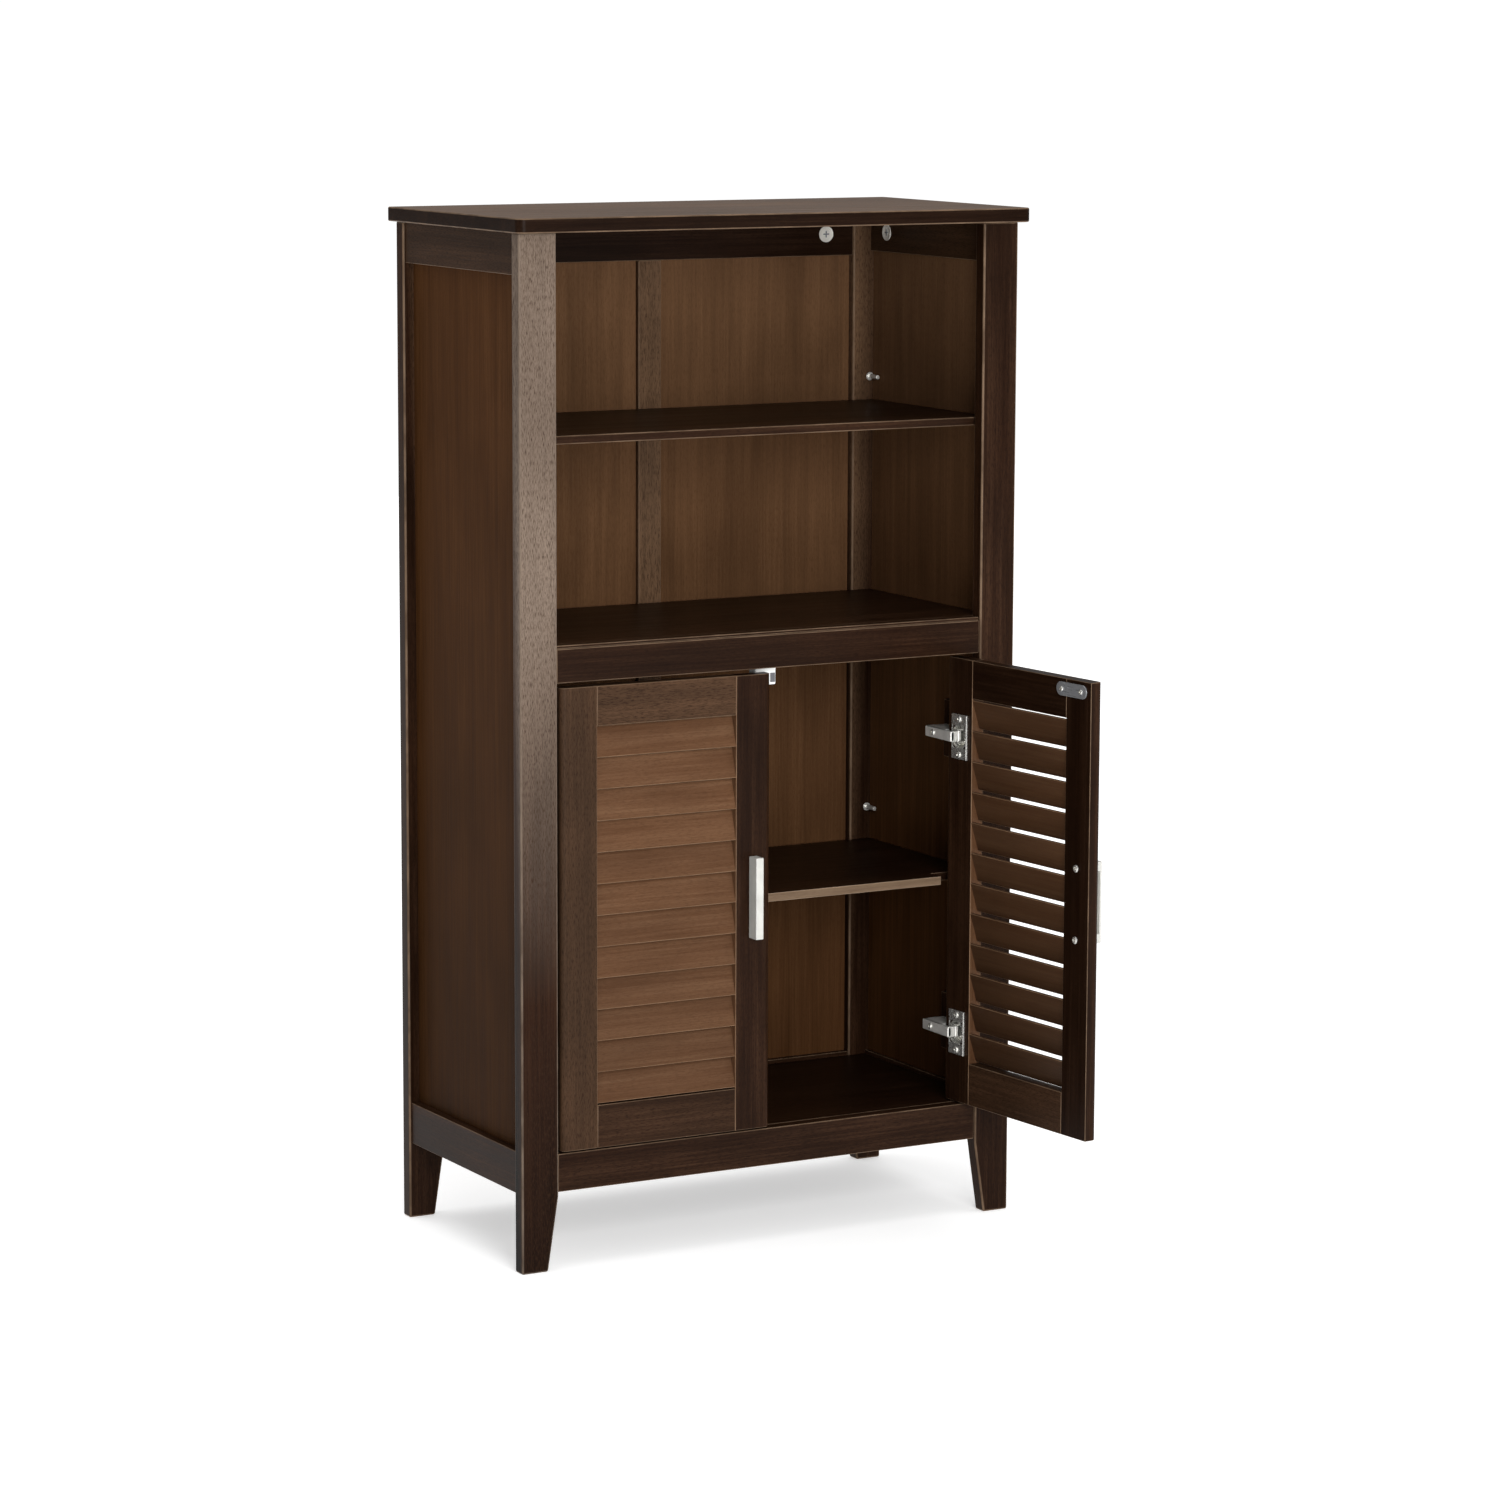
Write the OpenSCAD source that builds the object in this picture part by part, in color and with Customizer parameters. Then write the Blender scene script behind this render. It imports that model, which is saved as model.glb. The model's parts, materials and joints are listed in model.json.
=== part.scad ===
// Tall slatted shoe cabinet: an open shelf bay over a cupboard with two louvred doors.
// Millimetres. X runs across the front, Y runs from front to back, Z is up.
// The origin is on the floor, midway between the four feet.

/* [Case] */
// Width over the outer faces of the posts
case_w = 585; // [540:5:640]
// Depth over the outer faces of the posts
case_d = 287; // [270:1:320]
// Height to the top face of the top board
total_h = 1078; // [1040:1:1120]
// Height of the clear space under the bottom rails
leg_h = 82; // [70:1:100]
// Thickness of the top board
top_t = 15; // [12:1:20]
// Overhang of the top board past the sides
top_over_side = 7.5; // [4:0.5:12]
// Overhang of the top board past the front
top_over_front = 15; // [8:1:20]
// Overhang of the top board past the back
top_over_back = 4; // [0:1:8]
// Width of a post, seen from the front
post_w = 42; // [40:1:46]
// Thickness of a post, from front to back
post_t = 17; // [16:1:20]
// Width of a foot where the leg's taper ends
foot_w = 30; // [24:1:36]

/* [Rails and panels] */
// Thickness of the front and back rails
rail_t = 15; // [14:1:16]
// How far a front rail's face lies behind the face of the posts
rail_set = 2; // [1:0.5:2]
// Height of the rail under the cupboard doors
rail_bottom_h = 40; // [36:1:44]
// Height of the rail over the cupboard doors
rail_middle_h = 35; // [30:1:40]
// Height of the back's top rail
back_rail_top_h = 47; // [40:1:52]
// Height of the back's bottom rail and of the sides' bottom rails
low_rail_h = 44; // [42:1:48]
// Height of the sides' top rails
side_rail_top_h = 42.5; // [38:0.5:48]
// Thickness of the sides' rails
side_rail_t = 18; // [17:1:19]
// Thickness of the side panels and back panels
panel_t = 4.5; // [4:0.5:5]
// Width of the upright in the middle of the back
stile_w = 27.5; // [22:0.5:34]

/* [Shelves] */
// Thickness of every shelf
shelf_t = 9; // [8:1:10]
// Height of the middle shelf's top face, which is also the cupboard's roof
shelf_middle_z = 647.5; // [647:0.5:649]
// Height of the open bay's loose shelf
shelf_upper_z = 858; // [800:1:900]
// Height of the cupboard's loose shelf
shelf_lower_z = 368; // [300:1:400]

/* [Doors] */
// Width of one door
door_w = 243.5; // [242:0.5:244]
// Height of the doors' bottom edge
door_z0 = 124; // [123:1:126]
// Height of a door
door_h = 480; // [470:1:482]
// Thickness of a door
door_t = 15; // [14.5:0.5:15.5]
// Width of a door's stiles
door_stile_w = 41; // [39:0.5:44]
// Height of a door's top rail
door_rail_top_h = 41; // [36:1:46]
// Height of a door's bottom rail
door_rail_bottom_h = 45; // [40:1:50]
// Number of louvre slats in a door
slat_n = 12; // [10:1:14]
// Open gap between one slat and the next
slat_gap = 1.6; // [1.2:0.1:4]
// Angle by which the right door stands open
right_open = 95; // [0:1:100]

/* [Door hardware] */
// Distance of the hinge pin from the door's hinge edge
pin_in = 14; // [13:0.5:14.5]
// Distance of the hinge pin behind the door's front face
pin_back = 13; // [12.5:0.25:13]
// Height of the lower hinges
hinge_low_z = 200; // [190:1:220]
// Height of the upper hinges
hinge_high_z = 520; // [500:1:535]
// Length of a door handle
handle_l = 86; // [86:1:100]
// Distance between a handle's two screws
handle_pitch = 75; // [70:1:76]
// How far a handle stands out from its door
handle_out = 15.5; // [14:0.5:20]

/* [Hidden] */
$fn = 48;
eps = 0.5;

// Colours
wood = "#3a241a";
panel_wood = "#5f4128";
slat_wood = "#7d5838";
steel = "#c9c9c6";
nickel = "#b9b8b2";
white_plastic = "#f2f2ee";

// The case's main planes
half_w = case_w / 2;
front = -case_d / 2;
back = case_d / 2;
under_top = total_h - top_t;
post_in = half_w - post_w;          // X of the posts' inner edges
bay_front = front + post_t;         // Y of the front posts' back faces
bay_back = back - post_t;           // Y of the back posts' front faces
post_r = 2.5;                       // rounding of the posts' long edges

// Sides: the rails stand back from the posts' outer faces, the panels further in
side_rail_x = half_w - 2.5 - side_rail_t;   // X of the side rails' inner faces
side_panel_x = half_w - 16.5;               // X of the side panels' inner faces
side_rail_mid = side_rail_x + side_rail_t / 2;
groove = 2.5;                               // depth of the grooves that hold the panels
groove_gap = 0.1;                           // play of a panel in its groove

// Front and back rails
rail_y = front + rail_set;                  // Y of the front rails' faces
front_rail_t = bay_front - rail_y;
back_rail_y = back - rail_t;
back_panel_y = back_rail_y + 8;             // Y of the back panels' front faces
stile_y = back_rail_y + 1.5;                // Y of the back stile's front face
middle_lip = 3.5;                           // the middle shelf's lip over its rail
side_top_z0 = under_top - side_rail_top_h;
back_top_z0 = under_top - back_rail_top_h;
rail_middle_z1 = shelf_middle_z - middle_lip;
rail_middle_z0 = rail_middle_z1 - rail_middle_h;
low_rail_z1 = leg_h + low_rail_h;
bottom_z = leg_h + rail_bottom_h;           // top face of the bottom shelf

// Shelves
shelf_end = side_panel_x - 1;               // X of the shelves' ends
loose_gap = 2.5;                            // play of a loose shelf, front and back
swing_w = 32;                               // width of the lower shelf's cut front corners
swing_d = 26;                               // depth of the cut front corners

// Shelf pins stand out of the posts' inside faces
shelf_pin_x = half_w - post_w / 2;
shelf_pin_r = 2.5;
shelf_pin_out = 18;
shelf_pin_in = 9;
collar_r = 4.5;
collar_t = 1.5;
keeper_over_upper = 25;                     // a keeper pin's height over the upper shelf
keeper_over_lower = 35;                     // a keeper pin's height over the lower shelf

// Knock-down fittings
cam_r = 7.5;
cam_depth = 11;
cam_in = 34;                                // from a rail's end to its cam
cam_rim_r = 8.8;
cam_rim_t = 0.8;
bolt_r = 3;
bolt_play = 0.6;
bolt_screwed = 10;                          // length screwed into the post
dowel_r = 4;
dowel_l = 24;
dowel_in = 10;                              // length of a dowel in the post
dowel_gap = 13;                             // from a rail's middle to its dowel

// Doors, drawn closed for the right side with the hinge edge at the right
door_gap = 4;                               // play between a post and a door
door_edge = post_in - door_gap;             // X of the hinge edge
door_free = door_edge - door_w;             // X of the free edge
door_back = front + door_t;                 // Y of the inner face
door_z1 = door_z0 + door_h;
door_r = 6;                                 // rounding of the door's front upright edges
tenon_l = 12;
tenon_t = 5;
tenon_cut = 6;                              // shoulder over and under a tenon
louvre_z0 = door_z0 + door_rail_bottom_h;
louvre_z1 = door_z1 - door_rail_top_h;
slat_pitch = (louvre_z1 - louvre_z0 - slat_gap) / slat_n;
slat_h = slat_pitch - slat_gap;
slat_set = 0.5;                             // door's front face to a slat's lower edge
slat_lean = 9.5;                            // how far a slat's top leans back
slat_t = 4.8;
slat_tongue = 5;                            // length of a slat in each stile

// Hinges: a pin in the door's cup, held by the eye of an arm on the case
pin_x = door_edge - pin_in;
pin_y = front + pin_back;
pin_r = 1.5;
pin_h = 16;
pin_play = 0.05;
cup_r = 13;
cup_in = 20;                                // hinge edge to the cup's middle
cup_depth = 9;
cup_wall = 1.2;
flange_w = 27.5;
flange_h = 48;
flange_t = 1.5;
flange_in = 6.5;                            // hinge edge to the flange
flange_lip = 2.5;                           // height of the flange's raised far edge
cup_screw_pitch = 38;
screw_r = 1.75;
head_r = 3.4;
ear_gap = 0.3;
ear_t = 2.2;
arm_w = 11;
arm_t = 4.9;
arm_set = 11;                               // pin to the arm's outer face
arm_clear = 16;                             // pin to the place where the arm may turn sideways
arm_l = 50;
cheek_t = 1.6;
plate_h = 44;
plate_w = 24;
plate_t = 2.5;
block_h = 62;
block_l = 56;
hinge_zs = [hinge_low_z, hinge_high_z];

// Handles: bars with a finger groove that is open towards the door's free edge
handle_z = 371;                             // middle of a handle
handle_in = 16.5;                           // free edge to the handle
handle_w = 9;
handle_r = 1.5;
handle_lip = 2.5;                           // front wall of the groove
handle_base = 2;                            // back wall of the groove
handle_web = 2.5;                           // side wall of the groove
handle_end = 10;                            // solid length at each end
handle_screw_r = 2;

// Magnetic catch and its strike plates
strike_w = 50;
strike_h = 14.5;
strike_t = 1.5;
strike_in = 6.5;                            // free edge to the strike plate
strike_z = 593;
strike_pitch = 32;
catch_w = 24;
catch_z0 = 589.5;
catch_d = 15;
magnet_w = 6;
magnet_h = 10;
magnet_x = 8;                               // middle of the case to a magnet's middle
catch_screw_x = 6;

// ---------------------------------------------------------------- helpers

// A box between two corners
module span(a, b) {
    translate(a) cube(b - a);
}

// A board standing upright with its four long edges rounded
module upright(a, b, r) {
    translate([a[0], a[1], a[2]])
        linear_extrude(b[2] - a[2])
            rounded_rect([b[0] - a[0], b[1] - a[1]], [r, r, r, r]);
}

// A rectangle with its own rounding at each corner: left front, right front, right back, left back
module rounded_rect(size, r) {
    corners = [[0, 0], [size[0], 0], [size[0], size[1]], [0, size[1]]];
    turns = [180, 270, 0, 90];
    polygon([
        for (i = [0:3])
            let (
                sx = corners[i][0] > 0 ? -1 : 1,
                sy = corners[i][1] > 0 ? -1 : 1,
                c = corners[i] + [sx * r[i], sy * r[i]]
            )
            for (k = [0:(r[i] > 0 ? 6 : 0)])
                c + r[i] * [cos(turns[i] + 15 * k), sin(turns[i] + 15 * k)]
    ]);
}

// A cylinder along X, Y or Z from point p, with a signed length
module rod_x(p, r, l) {
    translate(p) rotate([0, 90, 0]) translate([0, 0, min(l, 0)]) cylinder(r = r, h = abs(l));
}
module rod_y(p, r, l) {
    translate(p) rotate([-90, 0, 0]) translate([0, 0, min(l, 0)]) cylinder(r = r, h = abs(l));
}
module rod_z(p, r, l) {
    translate([p[0], p[1], p[2] + min(l, 0)]) cylinder(r = r, h = abs(l));
}

// A part for the right side, mirrored when it is wanted on the left
module on_side(left) {
    if (left) mirror([1, 0, 0]) children();
    else children();
}

// A part for the right door, drawn closed; the right door is then turned open about its pins
module on_door(left) {
    if (left) mirror([1, 0, 0]) children();
    else
        translate([pin_x, pin_y, 0]) rotate([0, 0, right_open]) translate([-pin_x, -pin_y, 0])
            children();
}

// ---------------------------------------------------------------- fastener places
// Rails joined to the posts' inner edges: [Y of the cams' face, height of the rail's middle,
// rail thickness, way from that face into the rail]
x_joints = [
    [back_rail_y, under_top - back_rail_top_h / 2, rail_t, 1],
    [back_rail_y, leg_h + low_rail_h / 2, rail_t, 1],
    [bay_front, (rail_middle_z0 + rail_middle_z1) / 2, front_rail_t, -1],
    [bay_front, leg_h + rail_bottom_h / 2, front_rail_t, -1]
];
// Heights of the middles of the side rails, which are joined to the posts' faces (along Y)
y_joints = [under_top - side_rail_top_h / 2, leg_h + low_rail_h / 2];

// Cams, bolts and dowels of the rails along X. The side rails have cams at their back ends only,
// since their front ends are glued to the front posts on dowels.
module x_cam(j, s, r, rim) {
    face = j[0];
    dir = j[3];
    rod_y([s * (post_in - cam_in), face, j[1]], r, dir * cam_depth);
    if (rim > 0) rod_y([s * (post_in - cam_in), face, j[1]], rim, -dir * cam_rim_t);
}
module x_bolt(j, s, play, head) {
    y = j[0] + j[3] * j[2] / 2;
    if (head) rod_x([s * (post_in - cam_in + cam_r + 0.2), y, j[1]], bolt_r + play,
        s * (cam_in - cam_r - 0.2 + bolt_screwed));
    else rod_x([s * (post_in - cam_in), y, j[1]], bolt_r + play, s * cam_in);
}
module x_dowel(j, s) {
    y = j[0] + j[3] * j[2] / 2;
    for (dz = [-dowel_gap, dowel_gap])
        rod_x([s * (post_in + dowel_in), y, j[1] + dz], dowel_r, -s * dowel_l);
}
module y_cam(z, s, r, rim) {
    y = bay_back - cam_in;
    rod_x([s * side_rail_x, y, z], r, s * cam_depth);
    if (rim > 0) rod_x([s * side_rail_x, y, z], rim, -s * cam_rim_t);
}
module y_bolt(z, s, play, head) {
    y = bay_back - cam_in;
    if (head) rod_y([s * side_rail_mid, y + cam_r + 0.2, z], bolt_r + play,
        cam_in - cam_r - 0.2 + bolt_screwed);
    else rod_y([s * side_rail_mid, y, z], bolt_r + play, cam_in);
}
module y_dowel(z, s, f) {
    for (dz = [-dowel_gap, dowel_gap])
        rod_y([s * side_rail_mid, f * (bay_back + dowel_in), z + dz], dowel_r, -f * dowel_l);
}
module top_dowels() {
    for (s = [-1, 1], f = [-1, 1])
        rod_z([s * shelf_pin_x, f * (back - post_t / 2), under_top - 14], dowel_r, dowel_l);
}
module all_dowels() {
    for (s = [-1, 1]) {
        for (j = x_joints) x_dowel(j, s);
        for (z = y_joints, f = [-1, 1]) y_dowel(z, s, f);
    }
    top_dowels();
}
module all_bolts(play, head) {
    for (s = [-1, 1]) {
        for (j = x_joints) x_bolt(j, s, play, head);
        for (z = y_joints) y_bolt(z, s, play, head);
    }
}
module all_cams(r, rim) {
    for (s = [-1, 1]) {
        for (j = x_joints) x_cam(j, s, r, rim);
        for (z = y_joints) y_cam(z, s, r, rim);
    }
}
// The bores that a rail needs for its cams, bolts and dowels
module rail_bores() {
    all_cams(cam_r, 0);
    all_bolts(bolt_play, false);
    all_dowels();
}

// One pin: its collar's face on a post's inside face, its stem sunk into the post
module shelf_pin(x, f, z) {
    y = f * bay_back;
    rod_y([x, y + f * shelf_pin_in, z], shelf_pin_r, -f * (shelf_pin_in + shelf_pin_out));
    rod_y([x, y, z], collar_r, -f * collar_t);
}
module shelf_pin_bores() {
    for (s = [-1, 1], f = [-1, 1], z = [shelf_upper_z, shelf_lower_z])
        rod_y([s * shelf_pin_x, f * bay_back - f, z - shelf_t - shelf_pin_r],
            shelf_pin_r, f * (shelf_pin_in + 1));
    for (s = [-1, 1], z = [shelf_upper_z + keeper_over_upper, shelf_lower_z + keeper_over_lower])
        rod_y([s * shelf_pin_x, bay_back - 1, z], shelf_pin_r, shelf_pin_in + 1);
}

// ---------------------------------------------------------------- case

module top_board() {
    color(wood)
        difference() {
            translate([-half_w - top_over_side, front - top_over_front, under_top])
                linear_extrude(top_t)
                    rounded_rect([case_w + 2 * top_over_side,
                        case_d + top_over_front + top_over_back], [9, 9, 3, 3]);
            top_dowels();
        }
}

// A post drawn at the front right: a flat board whose inner edge tapers below the rails
module post(left, rear) {
    f = rear ? 1 : -1;
    y0 = rear ? bay_back : front;
    color(wood)
        difference() {
            on_side(left)
                difference() {
                    upright([post_in, y0, 0], [half_w, y0 + post_t, under_top], post_r);
                    translate([0, y0 - eps, 0])
                        rotate([90, 0, 0]) mirror([0, 0, 1])
                            linear_extrude(post_t + 2 * eps)
                                polygon([[post_in - eps, -eps], [half_w - foot_w, -eps],
                                    [half_w - foot_w, 0], [post_in, leg_h - 4],
                                    [post_in - eps, leg_h - 4]]);
                    side_panel_groove();
                    if (rear) back_panel_groove();
                }
            all_dowels();
            intersection() {
                all_bolts(0, true);
                span([-half_w, min(y0, y0 + post_t), 0], [half_w, y0 + post_t, under_top]);
            }
            shelf_pin_bores();
        }
}

// The grooves that the panels stand in, with a little play
module side_panel_groove() {
    span([side_panel_x - groove_gap, bay_front - groove - groove_gap, low_rail_z1 - groove - groove_gap],
        [side_panel_x + panel_t + groove_gap, bay_back + groove + groove_gap,
            under_top - side_rail_top_h + groove + groove_gap]);
}
module back_panel_groove() {
    span([stile_w / 2 - groove - groove_gap, back_panel_y - groove_gap,
            low_rail_z1 - groove - groove_gap],
        [post_in + groove + groove_gap, back_panel_y + panel_t + groove_gap,
            under_top - back_rail_top_h + groove + groove_gap]);
}

module side_rail(left, z0, z1) {
    color(wood)
        difference() {
            on_side(left)
                difference() {
                    span([side_rail_x, bay_front, z0], [side_rail_x + side_rail_t, bay_back, z1]);
                    side_panel_groove();
                }
            rail_bores();
        }
}

module side_panel(left) {
    color(panel_wood)
        on_side(left)
            span([side_panel_x, bay_front - groove, low_rail_z1 - groove],
                [side_panel_x + panel_t, bay_back + groove, under_top - side_rail_top_h + groove]);
}

module back_rail(z0, z1) {
    color(wood)
        difference() {
            span([-post_in, back_rail_y, z0], [post_in, back, z1]);
            for (left = [false, true]) on_side(left) back_panel_groove();
            rail_bores();
        }
}

module back_stile() {
    color(wood)
        difference() {
            span([-stile_w / 2, stile_y, low_rail_z1], [stile_w / 2, back, under_top - back_rail_top_h]);
            for (left = [false, true]) on_side(left) back_panel_groove();
        }
}

module back_panel(left) {
    color(panel_wood)
        on_side(left)
            span([stile_w / 2 - groove, back_panel_y, low_rail_z1 - groove],
                [post_in + groove, back_panel_y + panel_t, under_top - back_rail_top_h + groove]);
}

module front_rail(z0, z1) {
    color(wood)
        difference() {
            span([-post_in, rail_y, z0], [post_in, bay_front, z1]);
            rail_bores();
        }
}

// ---------------------------------------------------------------- shelves

module shelf_middle() {
    color(wood) {
        span([-shelf_end, bay_front, shelf_middle_z - shelf_t], [shelf_end, bay_back, shelf_middle_z]);
        span([-post_in, rail_y + 1, rail_middle_z1], [post_in, bay_front + eps, shelf_middle_z]);
    }
}
module shelf_bottom() {
    color(wood)
        span([-side_rail_x, bay_front, bottom_z - shelf_t], [side_rail_x, bay_back, bottom_z]);
}
module shelf_upper() {
    color(wood)
        span([-shelf_end, bay_front + loose_gap, shelf_upper_z - shelf_t],
            [shelf_end, bay_back - loose_gap, shelf_upper_z]);
}
// The cupboard's loose shelf has its front corners cut away for the doors' hinge edges
module shelf_lower() {
    color(wood)
        difference() {
            span([-shelf_end, bay_front + 5, shelf_lower_z - shelf_t],
                [shelf_end, bay_back - loose_gap, shelf_lower_z]);
            for (left = [false, true])
                on_side(left)
                    span([post_in - swing_w, bay_front, shelf_lower_z - shelf_t - 1],
                        [shelf_end + 1, bay_front + swing_d, shelf_lower_z + 1]);
        }
}
module shelf_pins() {
    color(steel)
        for (s = [-1, 1], f = [-1, 1], z = [shelf_upper_z, shelf_lower_z])
            shelf_pin(s * shelf_pin_x, f, z - shelf_t - shelf_pin_r);
}
module keeper_pins() {
    color(steel)
        for (s = [-1, 1],
            z = [shelf_upper_z + keeper_over_upper, shelf_lower_z + keeper_over_lower])
            shelf_pin(s * shelf_pin_x, 1, z);
}

// ---------------------------------------------------------------- knock-down fittings

module cam_locks() {
    color(steel)
        difference() {
            all_cams(cam_r, cam_rim_r);
            all_bolts(bolt_play, false);
        }
}
module cam_bolts() {
    color(steel) all_bolts(0, true);
}
module dowels() {
    color(slat_wood) all_dowels();
}

// ---------------------------------------------------------------- magnetic catch

catch_y = door_back + strike_t + 0.3;       // Y of the catch's face
module catch_body() {
    color(white_plastic)
        difference() {
            union() {
                span([-catch_w / 2, catch_y, catch_z0], [catch_w / 2, catch_y + catch_d, rail_middle_z0]);
                span([-catch_w / 2, bay_front, rail_middle_z0 - eps],
                    [catch_w / 2, catch_y + catch_d, rail_middle_z0 + 14]);
            }
            catch_magnet_shape();
            for (s = [-1, 1]) rod_y([s * catch_screw_x, bay_front - eps, rail_middle_z0 + 8], screw_r, 30);
        }
}
module catch_magnet_shape() {
    for (s = [-1, 1])
        span([s * magnet_x - magnet_w / 2, catch_y, catch_z0 + 2.5],
            [s * magnet_x + magnet_w / 2, catch_y + 6, catch_z0 + 2.5 + magnet_h]);
}
module catch_magnets() {
    color("#55565a") catch_magnet_shape();
}
module catch_screws() {
    color(steel)
        for (s = [-1, 1]) {
            rod_y([s * catch_screw_x, bay_front, rail_middle_z0 + 8], screw_r, catch_y + catch_d - bay_front);
            rod_y([s * catch_screw_x, catch_y + catch_d, rail_middle_z0 + 8], 3.2, 2);
        }
}

// ---------------------------------------------------------------- hinges, fixed half

block_x = post_in + 0.5;
// Wooden blocks glued behind the front posts, which bring the hinges out to the posts' edges
module hinge_blocks() {
    color(wood)
        difference() {
            for (left = [false, true], z = hinge_zs)
                on_side(left)
                    span([block_x, bay_front, z - block_h / 2],
                        [side_panel_x, bay_front + block_l, z + block_h / 2]);
            hinge_block_bores();
        }
}
plate_y0 = pin_y + 22;
plate_x = block_x - plate_t;
module plate_screws(r, l) {
    for (left = [false, true], z = hinge_zs, dz = [-16, 16])
        on_side(left)
            rod_x([plate_x, plate_y0 + plate_w / 2, z + dz], r, l);
}
module hinge_plates() {
    color(steel)
        difference() {
            for (left = [false, true], z = hinge_zs)
                on_side(left)
                    span([plate_x, plate_y0, z - plate_h / 2],
                        [block_x, plate_y0 + plate_w, z + plate_h / 2]);
            plate_screws(screw_r, 20);
            arm_screws(screw_r, 30);
        }
}
// A cranked channel that reaches from the plate to the pin; its eye is bored for the pin
module hinge_arms() {
    color(steel)
        difference() {
            for (left = [false, true], z = hinge_zs)
                on_side(left)
                    hinge_arm(z);
            arm_screws(screw_r, 10);
        }
}
module hinge_arm(z) {
    x0 = pin_x - arm_set;
    difference() {
        union() {
            span([x0, pin_y - 2.5, z - arm_w / 2], [x0 + arm_t, pin_y + arm_l, z + arm_w / 2]);
            span([x0 + 1, pin_y - 2.5, z - arm_w / 2], [pin_x, pin_y + 2.5, z + arm_w / 2]);
            rod_z([pin_x, pin_y, z - arm_w / 2], 3, arm_w);
            for (dz = [-arm_w / 2, arm_w / 2 - cheek_t])
                span([x0 + 1, pin_y + arm_clear, z + dz],
                    [plate_x, pin_y + arm_l, z + dz + cheek_t]);
        }
        rod_z([pin_x, pin_y, z - arm_w / 2 - 1], pin_r + pin_play, arm_w + 2);
    }
}
module arm_screws(r, l) {
    for (left = [false, true], z = hinge_zs)
        on_side(left)
            rod_x([pin_x - arm_set, plate_y0 + plate_w / 2, z], r, l);
}
module hinge_arm_screws() {
    color(steel) {
        plate_screws(screw_r, plate_t + 14);
        plate_screws(head_r, -1.6);
        arm_screws(screw_r, plate_x + plate_t - pin_x + arm_set);
        arm_screws(head_r, -1.8);
    }
}
module hinge_block_bores() {
    plate_screws(screw_r, plate_t + 14);
}

// ---------------------------------------------------------------- doors

// The side of a door is drawn closed at the right; u runs from its hinge edge to its free edge
module door_slat_shapes() {
    for (i = [0:slat_n - 1])
        translate([door_edge - door_stile_w + slat_tongue, front, louvre_z0 + slat_gap + i * slat_pitch])
            rotate([90, 0, -90])
                linear_extrude(door_w - 2 * door_stile_w + 2 * slat_tongue)
                    polygon([[-slat_set, 0], [-slat_set - slat_t, 0],
                        [-slat_set - slat_t - slat_lean, slat_h], [-slat_set - slat_lean, slat_h]]);
}
module door_tenons(z0, z1) {
    for (x = [door_edge - door_stile_w, door_free + door_stile_w - tenon_l])
        span([x, front + 5, z0 + tenon_cut], [x + tenon_l, front + 5 + tenon_t, z1 - tenon_cut]);
}
module door_cup_pockets() {
    for (z = hinge_zs)
        rod_y([door_edge - cup_in, door_back + 1, z], cup_r, -cup_depth - 1);
}
module door_cup_screws(r, l) {
    for (z = hinge_zs, dz = [-cup_screw_pitch / 2, cup_screw_pitch / 2])
        rod_y([door_edge - cup_in, door_back + flange_t, z + dz], r, l);
}
module door_handle_bores(l) {
    for (dz = [-handle_pitch / 2, handle_pitch / 2])
        rod_y([door_free + handle_in + handle_w / 2, door_back, handle_z + dz], handle_screw_r, -l);
}
module door_strike_bores(l) {
    for (dx = [-strike_pitch / 2, strike_pitch / 2])
        rod_y([door_free + strike_in + strike_w / 2 + dx, door_back + strike_t, strike_z],
            screw_r, -l);
}

module door_stile_hinge(left) {
    color(wood)
        on_door(left)
            difference() {
                translate([door_edge - door_stile_w, front, door_z0])
                    linear_extrude(door_h)
                        rounded_rect([door_stile_w, door_t], [0, door_r, 0, 0]);
                door_slat_shapes();
                door_tenons(door_z0, louvre_z0);
                door_tenons(louvre_z1, door_z1);
                door_cup_pockets();
                door_cup_screws(screw_r, -12);
            }
}
module door_stile_free(left) {
    color(wood)
        on_door(left)
            difference() {
                translate([door_free, front, door_z0])
                    linear_extrude(door_h)
                        rounded_rect([door_stile_w, door_t], [door_r, 0, 0, 0]);
                door_slat_shapes();
                door_tenons(door_z0, louvre_z0);
                door_tenons(louvre_z1, door_z1);
                door_handle_bores(door_t + 1);
                door_strike_bores(12);
            }
}
module door_rail(left, z0, z1) {
    color(wood)
        on_door(left)
            difference() {
                union() {
                    span([door_free + door_stile_w, front, z0], [door_edge - door_stile_w, door_back, z1]);
                    span([door_free + door_stile_w - tenon_l, front + 5, z0 + tenon_cut],
                        [door_edge - door_stile_w + tenon_l, front + 5 + tenon_t, z1 - tenon_cut]);
                }
                door_strike_bores(12);
            }
}
module door_slats(left) {
    color(slat_wood) on_door(left) door_slat_shapes();
}

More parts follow.
